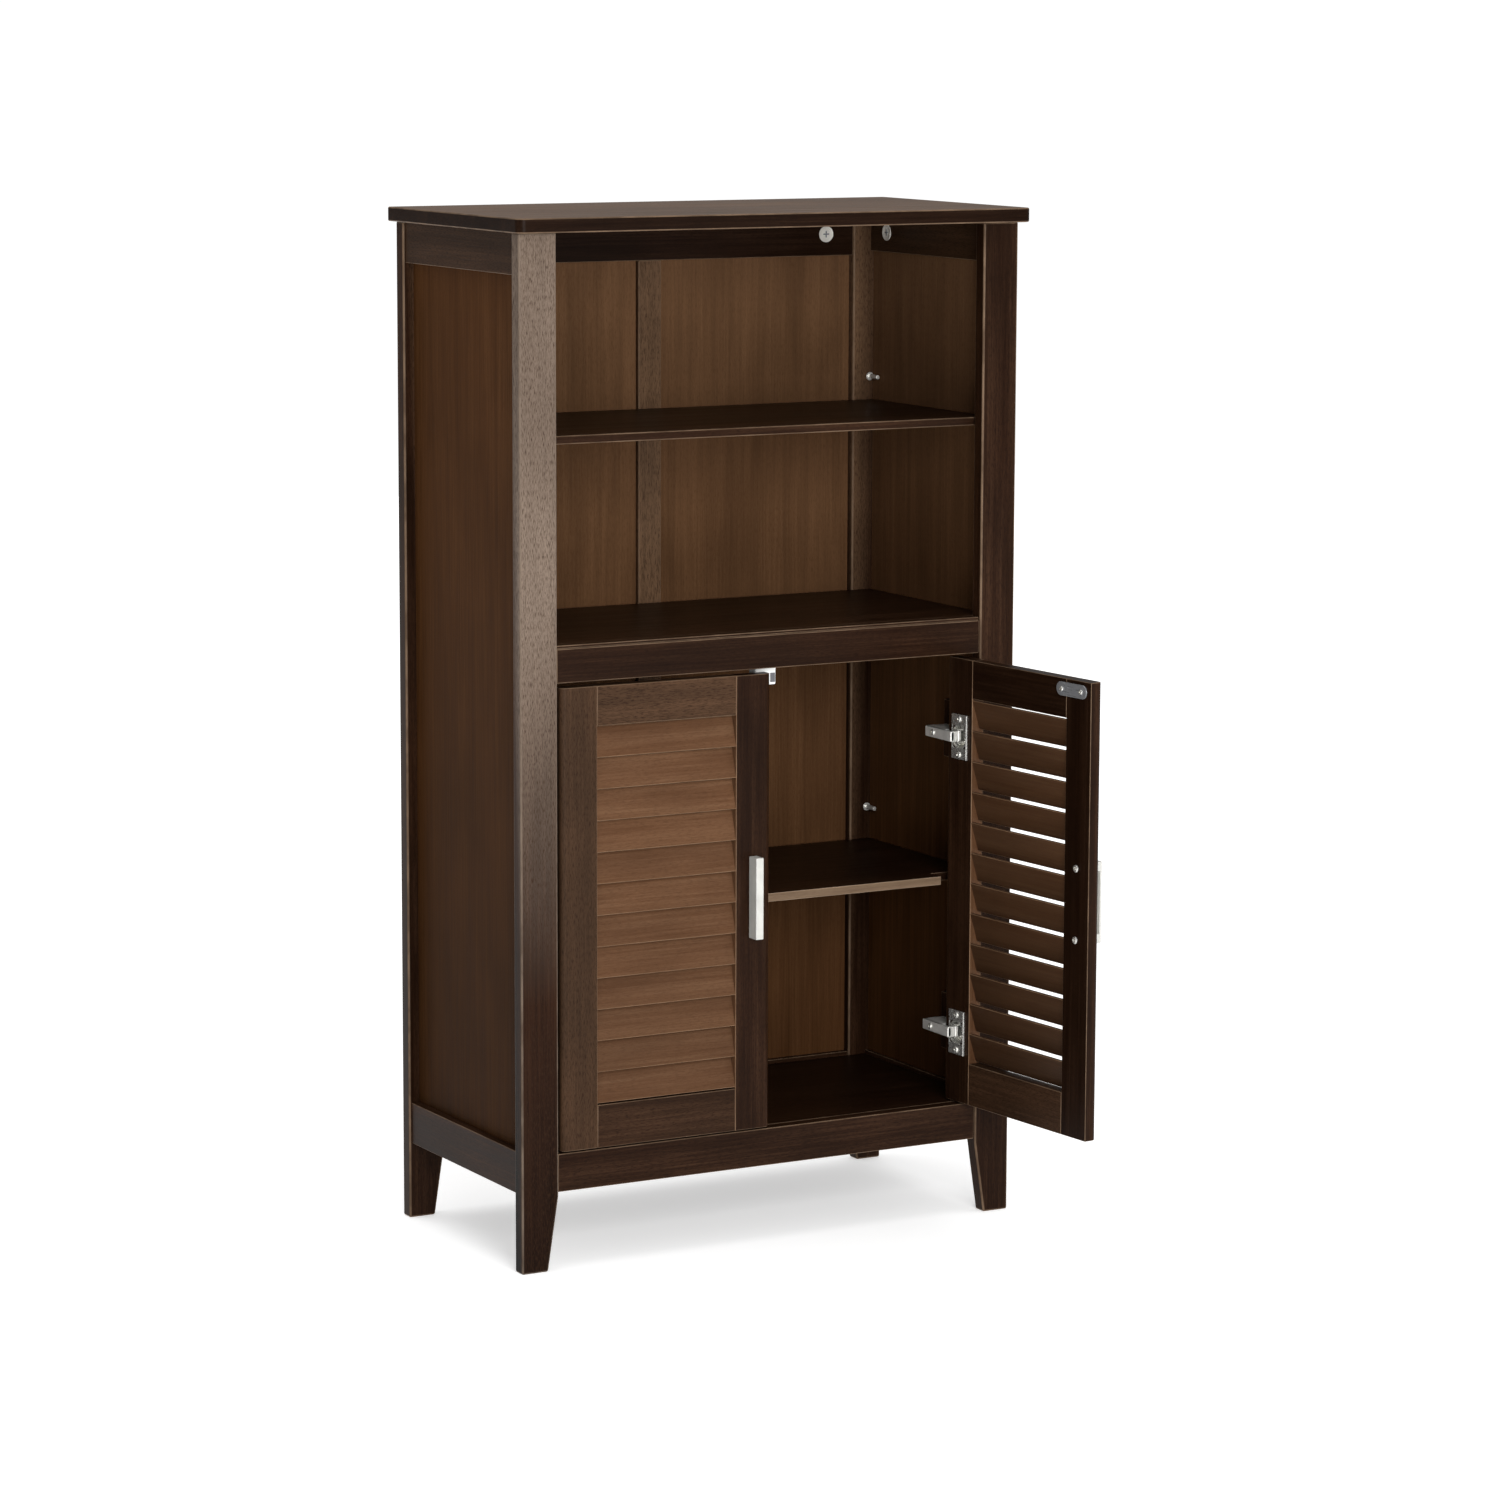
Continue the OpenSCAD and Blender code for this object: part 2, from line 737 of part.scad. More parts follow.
// The cup with its flange, and two ears over the cup's mouth that hold the pin
module door_cups(left) {
    color(steel)
        on_door(left)
            difference() {
                for (z = hinge_zs) door_cup(z);
                door_cup_screws(screw_r, -12);
                door_pin_shapes();
            }
}
module door_cup(z) {
    x = door_edge - cup_in;
    r = cup_r - cup_wall;
    difference() {
        union() {
            rod_y([x, door_back, z], cup_r, -cup_depth);
            span([door_edge - flange_in - flange_w, door_back, z - flange_h / 2],
                [door_edge - flange_in, door_back + flange_t, z + flange_h / 2]);
            span([door_edge - flange_in - flange_w, door_back, z - flange_h / 2],
                [door_edge - flange_in - flange_w + 6, door_back + flange_lip, z + flange_h / 2]);
        }
        rod_y([x, door_back + 5, z], r, -cup_depth + cup_wall - 5);
    }
    for (dz = [-arm_w / 2 - ear_gap - ear_t, arm_w / 2 + ear_gap])
        span([pin_x - 2.2, door_back - cup_depth + cup_wall / 2, z + dz],
            [pin_x + 2.2, door_back + 0.8, z + dz + ear_t]);
}
module door_pin_shapes() {
    for (z = hinge_zs) rod_z([pin_x, pin_y, z - pin_h / 2], pin_r, pin_h);
}
module door_pins(left) {
    color(steel) on_door(left) door_pin_shapes();
}
module door_cup_screw_set(left) {
    color(steel)
        on_door(left) {
            door_cup_screws(screw_r, -12);
            door_cup_screws(head_r, 1.2);
        }
}

module door_handle(left) {
    x0 = door_free + handle_in;
    color(nickel)
        on_door(left)
            difference() {
                translate([x0, front - handle_out, handle_z - handle_l / 2])
                    linear_extrude(handle_l)
                        rounded_rect([handle_w, handle_out], [handle_r, handle_r, 0, 0]);
                span([x0 - 1, front - handle_out + handle_lip, handle_z - handle_l / 2 + handle_end],
                    [x0 + handle_w - handle_web, front - handle_base,
                        handle_z + handle_l / 2 - handle_end]);
                door_handle_bores(door_t + 9);
            }
}
module door_handle_screws(left) {
    color(steel)
        on_door(left) {
            door_handle_bores(door_t + 9);
            for (dz = [-handle_pitch / 2, handle_pitch / 2])
                rod_y([door_free + handle_in + handle_w / 2, door_back, handle_z + dz], 4, 1.8);
        }
}
module door_strike(left) {
    r = strike_h / 2;
    x0 = door_free + strike_in;
    color(steel)
        on_door(left)
            difference() {
                union() {
                    span([x0 + r, door_back, strike_z - r],
                        [x0 + strike_w - r, door_back + strike_t, strike_z + r]);
                    for (x = [x0 + r, x0 + strike_w - r])
                        rod_y([x, door_back, strike_z], r, strike_t);
                }
                door_strike_bores(12);
            }
}
module door_strike_screws(left) {
    color(steel)
        on_door(left) {
            door_strike_bores(12);
            for (dx = [-strike_pitch / 2, strike_pitch / 2])
                rod_y([door_free + strike_in + strike_w / 2 + dx, door_back + strike_t, strike_z],
                    2.8, 0.8);
        }
}

// ---------------------------------------------------------------- parts

top_board();
post(true, false);  // post_front_left
post(false, false);  // post_front_right
post(true, true);  // post_back_left
post(false, true);  // post_back_right
side_rail(true, side_top_z0, under_top);  // side_rail_top_left
side_rail(false, side_top_z0, under_top);  // side_rail_top_right
side_rail(true, leg_h, low_rail_z1);  // side_rail_bottom_left
side_rail(false, leg_h, low_rail_z1);  // side_rail_bottom_right
side_panel(true);  // side_panel_left
side_panel(false);  // side_panel_right
back_rail(back_top_z0, under_top);  // back_rail_top
back_rail(leg_h, low_rail_z1);  // back_rail_bottom
back_stile();
back_panel(true);  // back_panel_left
back_panel(false);  // back_panel_right
front_rail(rail_middle_z0, rail_middle_z1);  // front_rail_middle
front_rail(leg_h, bottom_z);  // front_rail_bottom
shelf_middle();
shelf_bottom();
shelf_upper();
shelf_lower();
shelf_pins();
keeper_pins();
cam_locks();
cam_bolts();
dowels();
catch_body();
catch_magnets();
catch_screws();
hinge_blocks();
hinge_plates();
hinge_arms();
hinge_arm_screws();
door_stile_hinge(true);  // door_left_stile_hinge
door_stile_free(true);  // door_left_stile_free
door_rail(true, louvre_z1, door_z1);  // door_left_rail_top
door_rail(true, door_z0, louvre_z0);  // door_left_rail_bottom
door_slats(true);  // door_left_slats
door_cups(true);  // door_left_hinge_cups
door_pins(true);  // door_left_hinge_pins
door_cup_screw_set(true);  // door_left_cup_screws
door_handle(true);  // door_left_handle
door_handle_screws(true);  // door_left_handle_screws
door_strike(true);  // door_left_strike
door_strike_screws(true);  // door_left_strike_screws
door_stile_hinge(false);  // door_right_stile_hinge
door_stile_free(false);  // door_right_stile_free
door_rail(false, louvre_z1, door_z1);  // door_right_rail_top
door_rail(false, door_z0, louvre_z0);  // door_right_rail_bottom
door_slats(false);  // door_right_slats
door_cups(false);  // door_right_hinge_cups
door_pins(false);  // door_right_hinge_pins
door_cup_screw_set(false);  // door_right_cup_screws
door_handle(false);  // door_right_handle
door_handle_screws(false);  // door_right_handle_screws
door_strike(false);  // door_right_strike
door_strike_screws(false);  // door_right_strike_screws
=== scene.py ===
"""Looks of the slatted shoe cabinet: bevelled boards, louvres, hardware, studio."""
import json
import math
import zlib
import bpy
import bmesh
import numpy as np
from mathutils import Matrix, Vector


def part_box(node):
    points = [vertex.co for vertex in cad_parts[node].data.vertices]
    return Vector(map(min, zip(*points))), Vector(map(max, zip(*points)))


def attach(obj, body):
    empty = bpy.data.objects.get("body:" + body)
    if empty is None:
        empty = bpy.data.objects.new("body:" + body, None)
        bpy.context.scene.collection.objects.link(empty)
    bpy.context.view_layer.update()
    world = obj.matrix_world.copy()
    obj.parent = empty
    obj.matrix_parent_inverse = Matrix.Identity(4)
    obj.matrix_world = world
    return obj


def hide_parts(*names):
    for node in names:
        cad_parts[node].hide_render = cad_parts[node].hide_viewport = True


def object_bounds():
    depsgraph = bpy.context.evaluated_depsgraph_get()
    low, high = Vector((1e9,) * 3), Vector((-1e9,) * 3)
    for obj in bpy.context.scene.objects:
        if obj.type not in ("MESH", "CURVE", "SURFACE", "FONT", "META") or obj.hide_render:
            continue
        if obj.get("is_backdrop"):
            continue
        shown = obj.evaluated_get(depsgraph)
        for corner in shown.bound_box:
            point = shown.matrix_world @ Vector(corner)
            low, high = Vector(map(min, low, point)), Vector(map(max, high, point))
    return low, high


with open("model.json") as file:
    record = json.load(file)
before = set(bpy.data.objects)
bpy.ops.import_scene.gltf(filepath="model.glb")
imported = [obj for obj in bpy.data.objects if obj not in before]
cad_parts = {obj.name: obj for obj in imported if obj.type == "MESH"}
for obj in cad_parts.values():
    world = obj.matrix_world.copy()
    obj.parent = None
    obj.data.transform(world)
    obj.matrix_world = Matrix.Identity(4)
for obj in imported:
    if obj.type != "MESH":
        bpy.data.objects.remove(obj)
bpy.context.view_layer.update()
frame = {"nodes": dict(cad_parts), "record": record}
MM = 0.001
JOINTS = {j["name"]: j for j in frame["record"]["behaviour"]["joints"]}
PIN = Vector(JOINTS["door_right_hinge"]["pos_m"])
OPEN = -math.radians(JOINTS["door_right_hinge"]["range_deg"][0])
made = []


# ------------------------------------------------------------------ shader helpers

def new_material(name):
    m = bpy.data.materials.new(name)
    m.use_nodes = True
    n = m.node_tree.nodes
    return m, n, m.node_tree.links, n["Principled BSDF"]


def ramp(n, stops):
    r = n.new("ShaderNodeValToRGB")
    e = r.color_ramp.elements
    while len(e) < len(stops):
        e.new(0.5)
    for el, (pos, col) in zip(e, stops):
        el.position = pos
        el.color = (*col, 1) if len(col) == 3 else col
    return r


def grey(v):
    return (v, v, v)


def noise(n, links, vec, scale, stretch, detail=4, rough=0.6, distort=0.0):
    """Noise over a stretched copy of the coordinates."""
    m = n.new("ShaderNodeVectorMath")
    m.operation = "MULTIPLY"
    m.inputs[1].default_value = stretch
    links.new(vec, m.inputs[0])
    t = n.new("ShaderNodeTexNoise")
    t.inputs["Scale"].default_value = scale
    t.inputs["Detail"].default_value = detail
    t.inputs["Roughness"].default_value = rough
    t.inputs["Distortion"].default_value = distort
    links.new(m.outputs[0], t.inputs["Vector"])
    return t.outputs["Fac"]


def mix(n, links, kind, fac, a, b):
    m = n.new("ShaderNodeMix")
    m.data_type = "RGBA"
    m.blend_type = kind
    for sock, v in ((m.inputs[0], fac), (m.inputs[6], a), (m.inputs[7], b)):
        if isinstance(v, bpy.types.NodeSocket):
            links.new(v, sock)
        else:
            sock.default_value = (*v, 1) if isinstance(v, tuple) else v
    return m.outputs[2]


def maths(n, links, op, a, b=None, c=None):
    m = n.new("ShaderNodeMath")
    m.operation = op
    for sock, v in zip(m.inputs, (a, b, c)):
        if v is None:
            continue
        if isinstance(v, bpy.types.NodeSocket):
            links.new(v, sock)
        else:
            sock.default_value = v
    return m.outputs[0]


def bump(n, links, height, strength, distance, bsdf, after=None):
    b = n.new("ShaderNodeBump")
    b.inputs["Strength"].default_value = strength
    b.inputs["Distance"].default_value = distance
    links.new(height, b.inputs["Height"])
    if after is not None:
        links.new(after, b.inputs["Normal"])
    links.new(b.outputs[0], bsdf.inputs["Normal"])
    return b.outputs[0]


def wood(name, dark, mid, light, ticks, wear, rough, cloud, spec, pore_mix, pale=(0.36, 0.21, 0.117)):
    """Stained bamboo: long fine fibres, broad colour changes, short pores, and rubbed edges with a painted
    highlight.

    Three attributes steer it: grain holds (along, across, depth) in metres, shifted for each
    board; the edge attribute is 1 on rounded edges, lightened there by wear and a painted highlight;
    the third lifts the stain towards pale as painted light, and below 0 dims it as painted shade."""
    m, n, links, bsdf = new_material(name)
    a = n.new("ShaderNodeAttribute")
    a.attribute_name = "grain"
    g = a.outputs["Vector"]
    fibre = noise(n, links, g, 1.0, (9, 420, 420), 5, 0.65)
    band = noise(n, links, g, 1.0, (2.2, 60, 60), 4, 0.55, 0.6)
    patch = noise(n, links, g, 1.0, (5, 11, 11), 3, 0.5, 0.4)
    tone = maths(n, links, "MULTIPLY_ADD", fibre, 0.55, maths(n, links, "MULTIPLY", band, 0.45))
    body = ramp(n, [(0.36, dark), (0.5, mid), (0.64, light)])
    links.new(tone, body.inputs[0])
    soft = ramp(n, [(0.3, grey(1 - cloud)), (0.7, grey(1 + cloud * 0.55))])
    links.new(patch, soft.inputs[0])
    col = mix(n, links, "MULTIPLY", 1.0, body.outputs[0], soft.outputs[0])
    # Painted light and shade: the per-vertex attribute read here lifts the colour towards the pale colour
    # where light falls, and below 0 dims it where shade falls.
    t = n.new("ShaderNodeAttribute")
    t.attribute_name = "tone"
    painted_light_colour = ramp(n, [(0.3, tuple(x * 0.72 for x in pale)), (0.7, pale)])
    links.new(tone, painted_light_colour.inputs[0])
    lift = maths(n, links, "MINIMUM", maths(n, links, "MAXIMUM", t.outputs["Fac"], 0.0), 1.0)
    lift = maths(n, links, "MULTIPLY", lift, maths(n, links, "MULTIPLY_ADD", patch, 0.9, 0.5))
    col = mix(n, links, "MIX", maths(n, links, "MINIMUM", lift, 1.0), col, painted_light_colour.outputs[0])
    shade = n.new("ShaderNodeCombineColor")
    dim = maths(n, links, "ADD", maths(n, links, "MINIMUM", t.outputs["Fac"], 0.0), 1.0)
    for i in range(3):
        links.new(dim, shade.inputs[i])
    col = mix(n, links, "MULTIPLY", 1.0, col, shade.outputs[0])
    pore = noise(n, links, g, 1.0, (170, 1400, 1400), 2, 0.6)
    pores = ramp(n, [(0.49, grey(0)), (0.64, grey(1))])
    links.new(pore, pores.inputs[0])
    col = mix(n, links, "MIX", maths(n, links, "MULTIPLY", pores.outputs[0], pore_mix), col, ticks)
    # Rounded edges lightened towards the edge colour: partly rubbed wear, partly a painted highlight where
    # they catch the light.
    w = n.new("ShaderNodeAttribute")
    w.attribute_name = "wear"
    rub_and_highlight_noise = noise(n, links, g, 1.0, (26, 40, 40), 3, 0.6)
    rubbed_and_highlight_patches = ramp(n, [(0.38, grey(0)), (0.62, grey(1))])
    links.new(rub_and_highlight_noise, rubbed_and_highlight_patches.inputs[0])
    edge = maths(n, links, "MULTIPLY", w.outputs["Fac"],
                 maths(n, links, "MULTIPLY_ADD", rubbed_and_highlight_patches.outputs[0], 0.4, 0.4))
    col = mix(n, links, "MIX", edge, col, wear)
    links.new(col, bsdf.inputs["Base Color"])
    r = ramp(n, [(0.3, grey(rough - 0.07)), (0.7, grey(rough + 0.1))])
    links.new(tone, r.inputs[0])
    links.new(r.outputs[0], bsdf.inputs["Roughness"])
    bsdf.inputs["Specular IOR Level"].default_value = spec
    first = bump(n, links, fibre, 0.22, 0.0006, bsdf)
    bump(n, links, pore, 0.12, 0.0005, bsdf, first)
    return m


def metal(name, col, rough, stretch, spread=0.05, metallic=1.0):
    """Plated or brushed metal with fine marks along one axis and faint stains."""
    m, n, links, bsdf = new_material(name)
    tc = n.new("ShaderNodeTexCoord")
    brush = noise(n, links, tc.outputs["Object"], 1.0, stretch, 4, 0.6)
    stain = noise(n, links, tc.outputs["Object"], 60.0, (1, 1, 1), 3, 0.5)
    c = ramp(n, [(0.3, tuple(x * 0.82 for x in col)), (0.7, col)])
    links.new(stain, c.inputs[0])
    links.new(c.outputs[0], bsdf.inputs["Base Color"])
    r = ramp(n, [(0.3, grey(rough - spread)), (0.7, grey(rough + spread))])
    links.new(brush, r.inputs[0])
    links.new(r.outputs[0], bsdf.inputs["Roughness"])
    bsdf.inputs["Metallic"].default_value = metallic
    bump(n, links, brush, 0.1, 0.0003, bsdf)
    return m


def plastic(name, col, rough):
    m, n, links, bsdf = new_material(name)
    tc = n.new("ShaderNodeTexCoord")
    f = noise(n, links, tc.outputs["Object"], 900.0, (1, 1, 1), 3, 0.5)
    c = ramp(n, [(0.3, tuple(x * 0.94 for x in col)), (0.7, col)])
    links.new(f, c.inputs[0])
    links.new(c.outputs[0], bsdf.inputs["Base Color"])
    bsdf.inputs["Roughness"].default_value = rough
    bump(n, links, f, 0.08, 0.0002, bsdf)
    return m


FRAME = wood("frame_wood", (0.0135, 0.0052, 0.0024), (0.0225, 0.0096, 0.0046), (0.040, 0.0185, 0.0095),
             (0.007, 0.0028, 0.0014), (0.19, 0.125, 0.08), 0.34, 0.4, 0.045, 0.6)
# The front-left post's wood: its pale colour is the colour of a painted sheen.
PAINTED_SHEEN_POST = wood("post_wood", (0.0150, 0.0055, 0.0025), (0.0260, 0.0100, 0.0046), (0.046, 0.0195, 0.0095),
            (0.026, 0.012, 0.006), (0.16, 0.12, 0.09), 0.34, 0.4, 0.045, 0.75, (0.19, 0.142, 0.109))
PANEL = wood("panel_wood", (0.046, 0.0180, 0.0058), (0.062, 0.0250, 0.0085), (0.080, 0.0345, 0.0130),
             (0.040, 0.017, 0.006), (0.12, 0.075, 0.045), 0.45, 0.2, 0.012, 0.3)
LOUVRE_AND_PAINTED_LIGHT = wood("louvre_wood", (0.086, 0.0385, 0.0175), (0.108, 0.0515, 0.0250), (0.132, 0.067, 0.034),
              (0.045, 0.020, 0.009), (0.24, 0.15, 0.09), 0.4, 0.2, 0.07, 0.35)
RAW = wood("edge_wood", (0.17, 0.11, 0.068), (0.24, 0.16, 0.10), (0.31, 0.215, 0.14),
           (0.10, 0.06, 0.035), (0.36, 0.26, 0.18), 0.6, 0.2, 0.1, 0.4)
DOWEL = wood("dowel_wood", (0.42, 0.28, 0.15), (0.52, 0.37, 0.22), (0.62, 0.46, 0.29),
             (0.3, 0.2, 0.1), (0.6, 0.45, 0.3), 0.65, 0.15, 0.1, 0.3)
STEEL = metal("fitting_steel", (0.84, 0.83, 0.79), 0.28, (500, 500, 500), 0.05, 0.88)
SATIN = metal("satin_steel", (0.84, 0.83, 0.79), 0.32, (500, 500, 500), 0.05, 0.6)
ZINC = metal("cam_zinc", (0.90, 0.87, 0.80), 0.45, (500, 500, 500), 0.08, 0.35)
DULL_STEEL_AND_PAINTED_SHADE = metal("strike_steel", (0.30, 0.305, 0.32), 0.30, (60, 60, 900), 0.05, 0.6)
NICKEL = metal("handle_nickel", (0.61, 0.605, 0.57), 0.42, (1600, 1600, 12), 0.07, 0.35)
WHITE = plastic("catch_plastic", (0.86, 0.86, 0.84), 0.42)
MAGNET = metal("magnet", (0.16, 0.16, 0.17), 0.55, (400, 400, 400), 0.08, 0.6)


# ------------------------------------------------------------------ shape helpers

def box(lo, hi):
    bm = bmesh.new()
    bmesh.ops.create_cube(bm, size=1.0)
    lo, hi = Vector(lo), Vector(hi)
    for v in bm.verts:
        v.co = Vector([(lo[i] + hi[i]) / 2 + v.co[i] * (hi[i] - lo[i]) for i in range(3)])
    return bm


def prism(points, axis, a, b):
    """A polygon drawn in the two other axes, in their order, and drawn out along axis."""
    bm = bmesh.new()
    others = [i for i in range(3) if i != axis]

    def at(p, t):
        co = [0.0, 0.0, 0.0]
        co[others[0]], co[others[1]], co[axis] = p[0], p[1], t
        return bm.verts.new(co)
    low = [at(p, a) for p in points]
    high = [at(p, b) for p in points]
    bm.faces.new(low)
    bm.faces.new(high)
    for i in range(len(points)):
        j = (i + 1) % len(points)
        bm.faces.new((low[i], low[j], high[j], high[i]))
    bmesh.ops.recalc_face_normals(bm, faces=bm.faces)
    return bm


def bevel(bm, width, seg=3, min_angle=35, only=None):
    """Rounds the sharp edges and marks the rounded strip, which the wood lightens with wear and a painted
    highlight.
    """
    layer = bm.verts.layers.float.get("wear") or bm.verts.layers.float.new("wear")
    edges = [e for e in bm.edges if len(e.link_faces) == 2
             and e.calc_face_angle(0) > math.radians(min_angle) and (only is None or only(e))]
    out = bmesh.ops.bevel(bm, geom=edges, offset=width, segments=seg, profile=0.5,
                          affect="EDGES", clamp_overlap=True)
    strip = set(out["faces"])
    for v in bm.verts:
        if v.link_faces and all(f in strip for f in v.link_faces):
            v[layer] = 1.0
    return bm


def ring(centre, axis, profile, seg=40):
    """Turns a profile of (radius, height) pairs about an axis through centre."""
    bm = bmesh.new()
    z = Vector(axis).normalized()
    x = z.orthogonal().normalized()
    y = z.cross(x)
    rows = []
    for r, h in profile:
        if r < 1e-7:
            rows.append([bm.verts.new(Vector(centre) + z * h)])
            continue
        rows.append([bm.verts.new(Vector(centre) + z * h + (x * math.cos(t) + y * math.sin(t)) * r)
                     for t in [2 * math.pi * k / seg for k in range(seg)]])
    for a, b in zip(rows, rows[1:]):
        for k in range(seg):
            j = (k + 1) % seg
            quad = [a[k % len(a)], a[j % len(a)], b[j % len(b)], b[k % len(b)]]
            quad = list(dict.fromkeys(quad))
            if len(quad) > 2:
                bm.faces.new(quad)
    bmesh.ops.recalc_face_normals(bm, faces=bm.faces)
    return bm


def join(*parts):
    out = bmesh.new()
    out.verts.layers.float.new("wear")
    for p in parts:
        me = bpy.data.meshes.new("tmp")
        p.to_mesh(me)
        out.from_mesh(me)
        bpy.data.meshes.remove(me)
        p.free()
    return out


def add_object(name, data):
    o = bpy.data.objects.new(name, data)
    bpy.context.scene.collection.objects.link(o)
    return o


def final_mesh(o):
    """The mesh of o with its modifiers worked in; o keeps none of them."""
    dg = bpy.context.evaluated_depsgraph_get()
    me = bpy.data.meshes.new_from_object(o.evaluated_get(dg), preserve_all_data_layers=True, depsgraph=dg)
    o.modifiers.clear()
    return me


def cut(bm, *tools):
    """The shape bm with the tool shapes taken out of it."""
    objs = []
    for b in (bm, *tools):
        me = bpy.data.meshes.new("cut")
        b.to_mesh(me)
        b.free()
        objs.append(add_object("cut", me))
    for t in objs[1:]:
        b = objs[0].modifiers.new("cut", "BOOLEAN")
        b.operation, b.solver, b.object = "DIFFERENCE", "EXACT", t
    me = final_mesh(objs[0])
    out = bmesh.new()
    out.from_mesh(me)
    bpy.data.meshes.remove(me)
    for o in objs:
        bpy.data.objects.remove(o)
    return out


def settle(o, smooth=32):
    """Gives the mesh clean shading and leaves no modifier on it."""
    for p in o.data.polygons:
        p.use_smooth = True
    o.data.set_sharp_from_angle(angle=math.radians(smooth))
    w = o.modifiers.new("normals", "WEIGHTED_NORMAL")
    w.keep_sharp = True
    me = final_mesh(o)
    old = o.data
    o.data = me
    me.name = o.name
    bpy.data.meshes.remove(old)


def add_grain(me, grain, name, tone=0.0):
    order = {"x": (0, 1, 2), "y": (1, 0, 2), "z": (2, 0, 1)}[grain]
    co = np.empty(len(me.vertices) * 3, dtype=np.float64)
    me.vertices.foreach_get("co", co)
    co = co.reshape(-1, 3)[:, order]
    h = zlib.crc32(name.encode())
    shift = np.array([(h % 97) * 0.11, (h // 97 % 89) * 0.031, (h // 9000 % 83) * 0.023])
    a = me.attributes.get("grain") or me.attributes.new("grain", "FLOAT_VECTOR", "POINT")
    a.data.foreach_set("vector", (co + shift).astype(np.float32).ravel())
    if not me.attributes.get("wear"):
        me.attributes.new("wear", "FLOAT", "POINT")
    a = me.attributes.get("tone") or me.attributes.new("tone", "FLOAT", "POINT")
    a.data.foreach_set("value", [tone(v.co) if callable(tone) else tone for v in me.vertices])


def place(name, bm, body, nodes, mat, grain="z", move=None, smooth=32, paint=None, tone=0.0):
    """Makes the finished piece: mesh, grain, material, body and the nodes that it stands for."""
    me = bpy.data.meshes.new(name)
    bm.to_mesh(me)
    bm.free()
    add_grain(me, grain, name, tone)
    me.materials.append(mat)
    if paint:
        me.materials.append(paint[0])
        for p in me.polygons:
            if paint[1](p):
                p.material_index = 1
    if move is not None:
        me.transform(move)
        if move.determinant() < 0:
            me.flip_normals()
    o = add_object(name, me)
    settle(o, smooth)
    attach(o, body)
    if nodes:
        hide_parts(*nodes)
    made.append(o)
    return o


def board(node, grain, mat=None, width=0.8, tone=0.0):
    lo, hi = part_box(node)
    return place(node + "_board", bevel(box(lo, hi), width * MM), "cabinet", [node],
                 mat or FRAME, grain, tone=tone)


# ------------------------------------------------------------------ case

lo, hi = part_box("top_board")
top = prism([(lo.x, lo.y), (hi.x, lo.y), (hi.x, hi.y), (lo.x, hi.y)], 2, lo.z, hi.z)
bevel(top, 9 * MM, 8, only=lambda e: all(v.co.y < 0 for v in e.verts)
      and abs(e.verts[0].co.z - e.verts[1].co.z) > 0.001)
for v in top.verts:
    v[top.verts.layers.float["wear"]] = 0.0
bevel(top, 1.6 * MM, 4)
# Painted light and shade: the top face is lifted as a painted reflection of the sky at a grazing angle, and
# the edges and underside are dimmed as painted shade.
top_z = hi.z
place("top_board_rounded", top, "cabinet", ["top_board"], FRAME, "x",
      tone=lambda co: 0.33 if co.z > top_z - 0.2 * MM else -0.5)

low_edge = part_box("side_rail_bottom_left")[0].z
foot = 30 * MM
for side, s in (("left", -1), ("right", 1)):
    for end in ("front", "back"):
        node = f"post_{end}_{side}"
        lo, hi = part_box(node)
        out_x, in_x = (lo.x, hi.x) if s < 0 else (hi.x, lo.x)
        outline = [(out_x, 0), (out_x - s * foot, 0), (in_x, low_edge - 4 * MM), (in_x, hi.z), (out_x, hi.z)]
        post = bevel(prism(outline, 1, lo.y, hi.y), 2.2 * MM, 4, 20)
        y_mid, x_mid = (lo.y + hi.y) / 2, abs(lo.x + hi.x) / 2
        tone, mat = 0.0, FRAME
        # Back posts: painted light on their inner front edge, lighter higher up.
        if end == "back":
            tone = lambda co: (co.z - 0.1) * 0.42 if co.y < y_mid and abs(co.x) < x_mid else 0.0
        # Front-left post: painted sheen, lighter upwards and darker below about 0.28 m, with painted shade on
        # its back half.
        elif side == "left":
            tone, mat = (lambda co: (co.z - 0.28) / 0.42 - (0.7 if co.y > y_mid else 0.0)), PAINTED_SHEEN_POST
        place(node + "_leg", post, "cabinet", [node], mat, "z", tone=tone)
    board(f"side_rail_top_{side}", "y", tone=0.06)
    board(f"side_rail_bottom_{side}", "y")
    panel_mid = s * (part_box(f"side_panel_{side}")[0].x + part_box(f"side_panel_{side}")[1].x) / 2
    # Side panels: painted light and shade on the inner face, lighter high up and darker low down; the outer
    # face is darker towards the bottom.
    board(f"side_panel_{side}", "z", PANEL, 0.3,
          lambda co: (co.z - 0.35) * 0.38 if abs(co.x) < panel_mid else min(0.0, (co.z - 0.75) * 0.8))
    # Back panels: painted light, lighter higher up.
    board(f"back_panel_{side}", "z", PANEL, 0.3, lambda co: 0.22 * co.z)
# Back top rail dimmed: painted shadow under the top board.
board("back_rail_top", "x", tone=-0.4)
board("back_rail_bottom", "x")
# Back stile: its front face lifted as painted light.
stile_mid = sum(v.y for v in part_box("back_stile")) / 2
board("back_stile", "z", None, 1.2, lambda co: 0.35 if co.y < stile_mid else 0.0)
board("front_rail_middle", "x", None, 1.2)
board("front_rail_bottom", "x", None, 1.2, -0.2)

# ------------------------------------------------------------------ shelves

